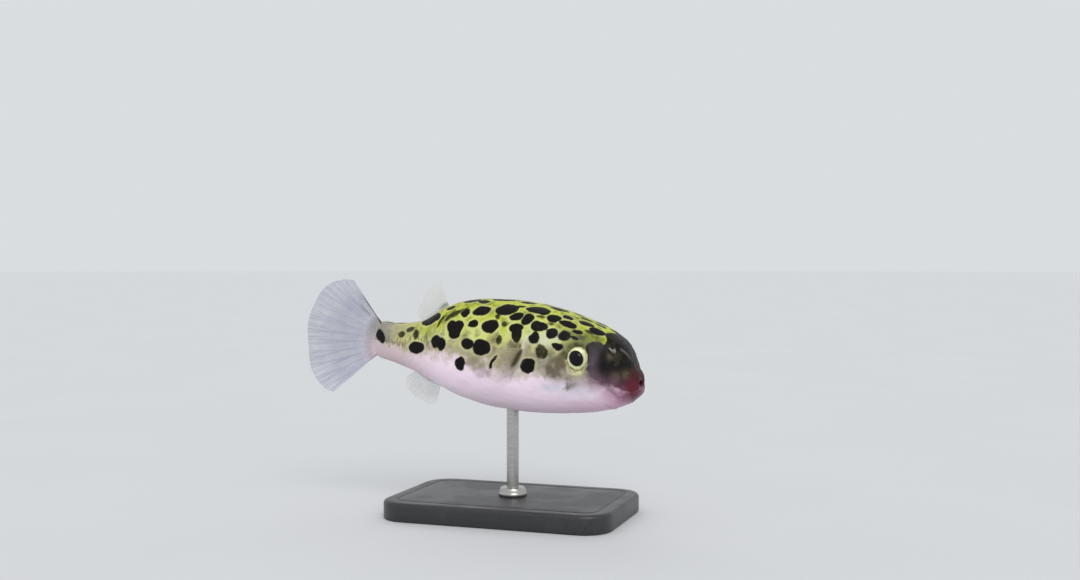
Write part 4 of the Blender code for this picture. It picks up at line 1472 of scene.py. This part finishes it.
class PUFFER_OT_stage(bpy.types.Operator):
    """The pale floor, the soft lights and the camera"""

    bl_idname = "puffer.stage"
    bl_label = "Stage"

    def execute(self, context):
        stage = context.scene.puffer_stage
        made, tree, shader = new_material("studio floor", Roughness=1.0, Specular_IOR_Level=0.05)
        cloud = grouped(tree, "Mottle", size=60.0, detail=3.0)
        colour = mixed(eased(cloud, 0.0, 1.0), stage.floor, shaded(stage.floor, 0.985))
        feed(shader, Base_Color=colour)
        placed("floor", smooth_mesh("floor", *floor_disc(), made))

        add_sun("key", -58, 45, 34, 1.14)
        add_sun("fill", -70, 2, 60, 0.68, glints=False)
        add_sun("back", 120, 40, 40, 0.5, glints=False)
        world = bpy.data.worlds.new("studio air")
        world.use_nodes = True
        air = world.node_tree.nodes["Background"].inputs
        air["Color"].default_value = (*linear(236, 239, 242), 1.0)
        air["Strength"].default_value = AIR_STRENGTH
        context.scene.world = world
        context.scene.view_settings.view_transform = "Standard"

        # The camera looks past the aim point, which so lies left of and below the frame's middle.
        azimuth, elevation = stage.azimuth, stage.elevation
        back = Vector((math.sin(azimuth) * math.cos(elevation), -math.cos(azimuth) * math.cos(elevation),
                       math.sin(elevation)))
        target = Vector(AIM_POINT)
        half = math.tan(stage.field / 2)
        right_turn = math.atan(2 * stage.left * half)
        up_turn = math.atan(2 * stage.below * half * FRAME_SHAPE * math.cos(right_turn))
        heading = azimuth - right_turn
        pitch = -elevation + up_turn
        lens = bpy.data.cameras.new("camera")
        lens.sensor_fit = "HORIZONTAL"
        lens.angle = stage.field
        lens.clip_start = 0.01
        camera = placed("camera", lens)
        place = Matrix.Translation(target + back * stage.distance)
        turn = Matrix.Rotation(heading, 4, "Z") @ Matrix.Rotation(math.pi / 2 + pitch, 4, "X")
        camera.matrix_world = place @ turn
        context.scene.camera = camera
        return {"FINISHED"}


class VIEW3D_PT_puffer(bpy.types.Panel):
    """Lists the pieces of the pufferfish and its settings"""

    bl_label = "Pufferfish"
    bl_space_type = "VIEW_3D"
    bl_region_type = "UI"
    bl_category = "Pufferfish"

    def draw(self, context):
        for operator in OPERATORS:
            self.layout.operator(operator.bl_idname)
        for key, settings in SETTINGS.items():
            box = self.layout.box()
            for name in settings.__annotations__:
                box.prop(getattr(context.scene, key), name)


OPERATORS = (PUFFER_OT_skin, PUFFER_OT_eyes, PUFFER_OT_nostrils, PUFFER_OT_beak, PUFFER_OT_fins,
             PUFFER_OT_stand, PUFFER_OT_stage)
SETTINGS = {"puffer_skin": SkinSettings, "puffer_eye": EyeSettings, "puffer_fin": FinSettings,
            "puffer_stand": StandSettings, "puffer_stage": StageSettings}


def register():
    for made in (*SETTINGS.values(), *OPERATORS, VIEW3D_PT_puffer):
        bpy.utils.register_class(made)
    for key, settings in SETTINGS.items():
        setattr(bpy.types.Scene, key, PointerProperty(type=settings))


def unregister():
    for key in SETTINGS:
        delattr(bpy.types.Scene, key)
    for made in (VIEW3D_PT_puffer, *reversed(OPERATORS), *reversed(list(SETTINGS.values()))):
        bpy.utils.unregister_class(made)


def main():
    register()
    bpy.ops.puffer.stage()
    bpy.ops.puffer.skin()
    bpy.ops.puffer.eyes()
    bpy.ops.puffer.nostrils()
    bpy.ops.puffer.beak()
    bpy.ops.puffer.fins()
    bpy.ops.puffer.stand()
    bpy.context.view_layer.update()


if __name__ == "__main__":
    main()
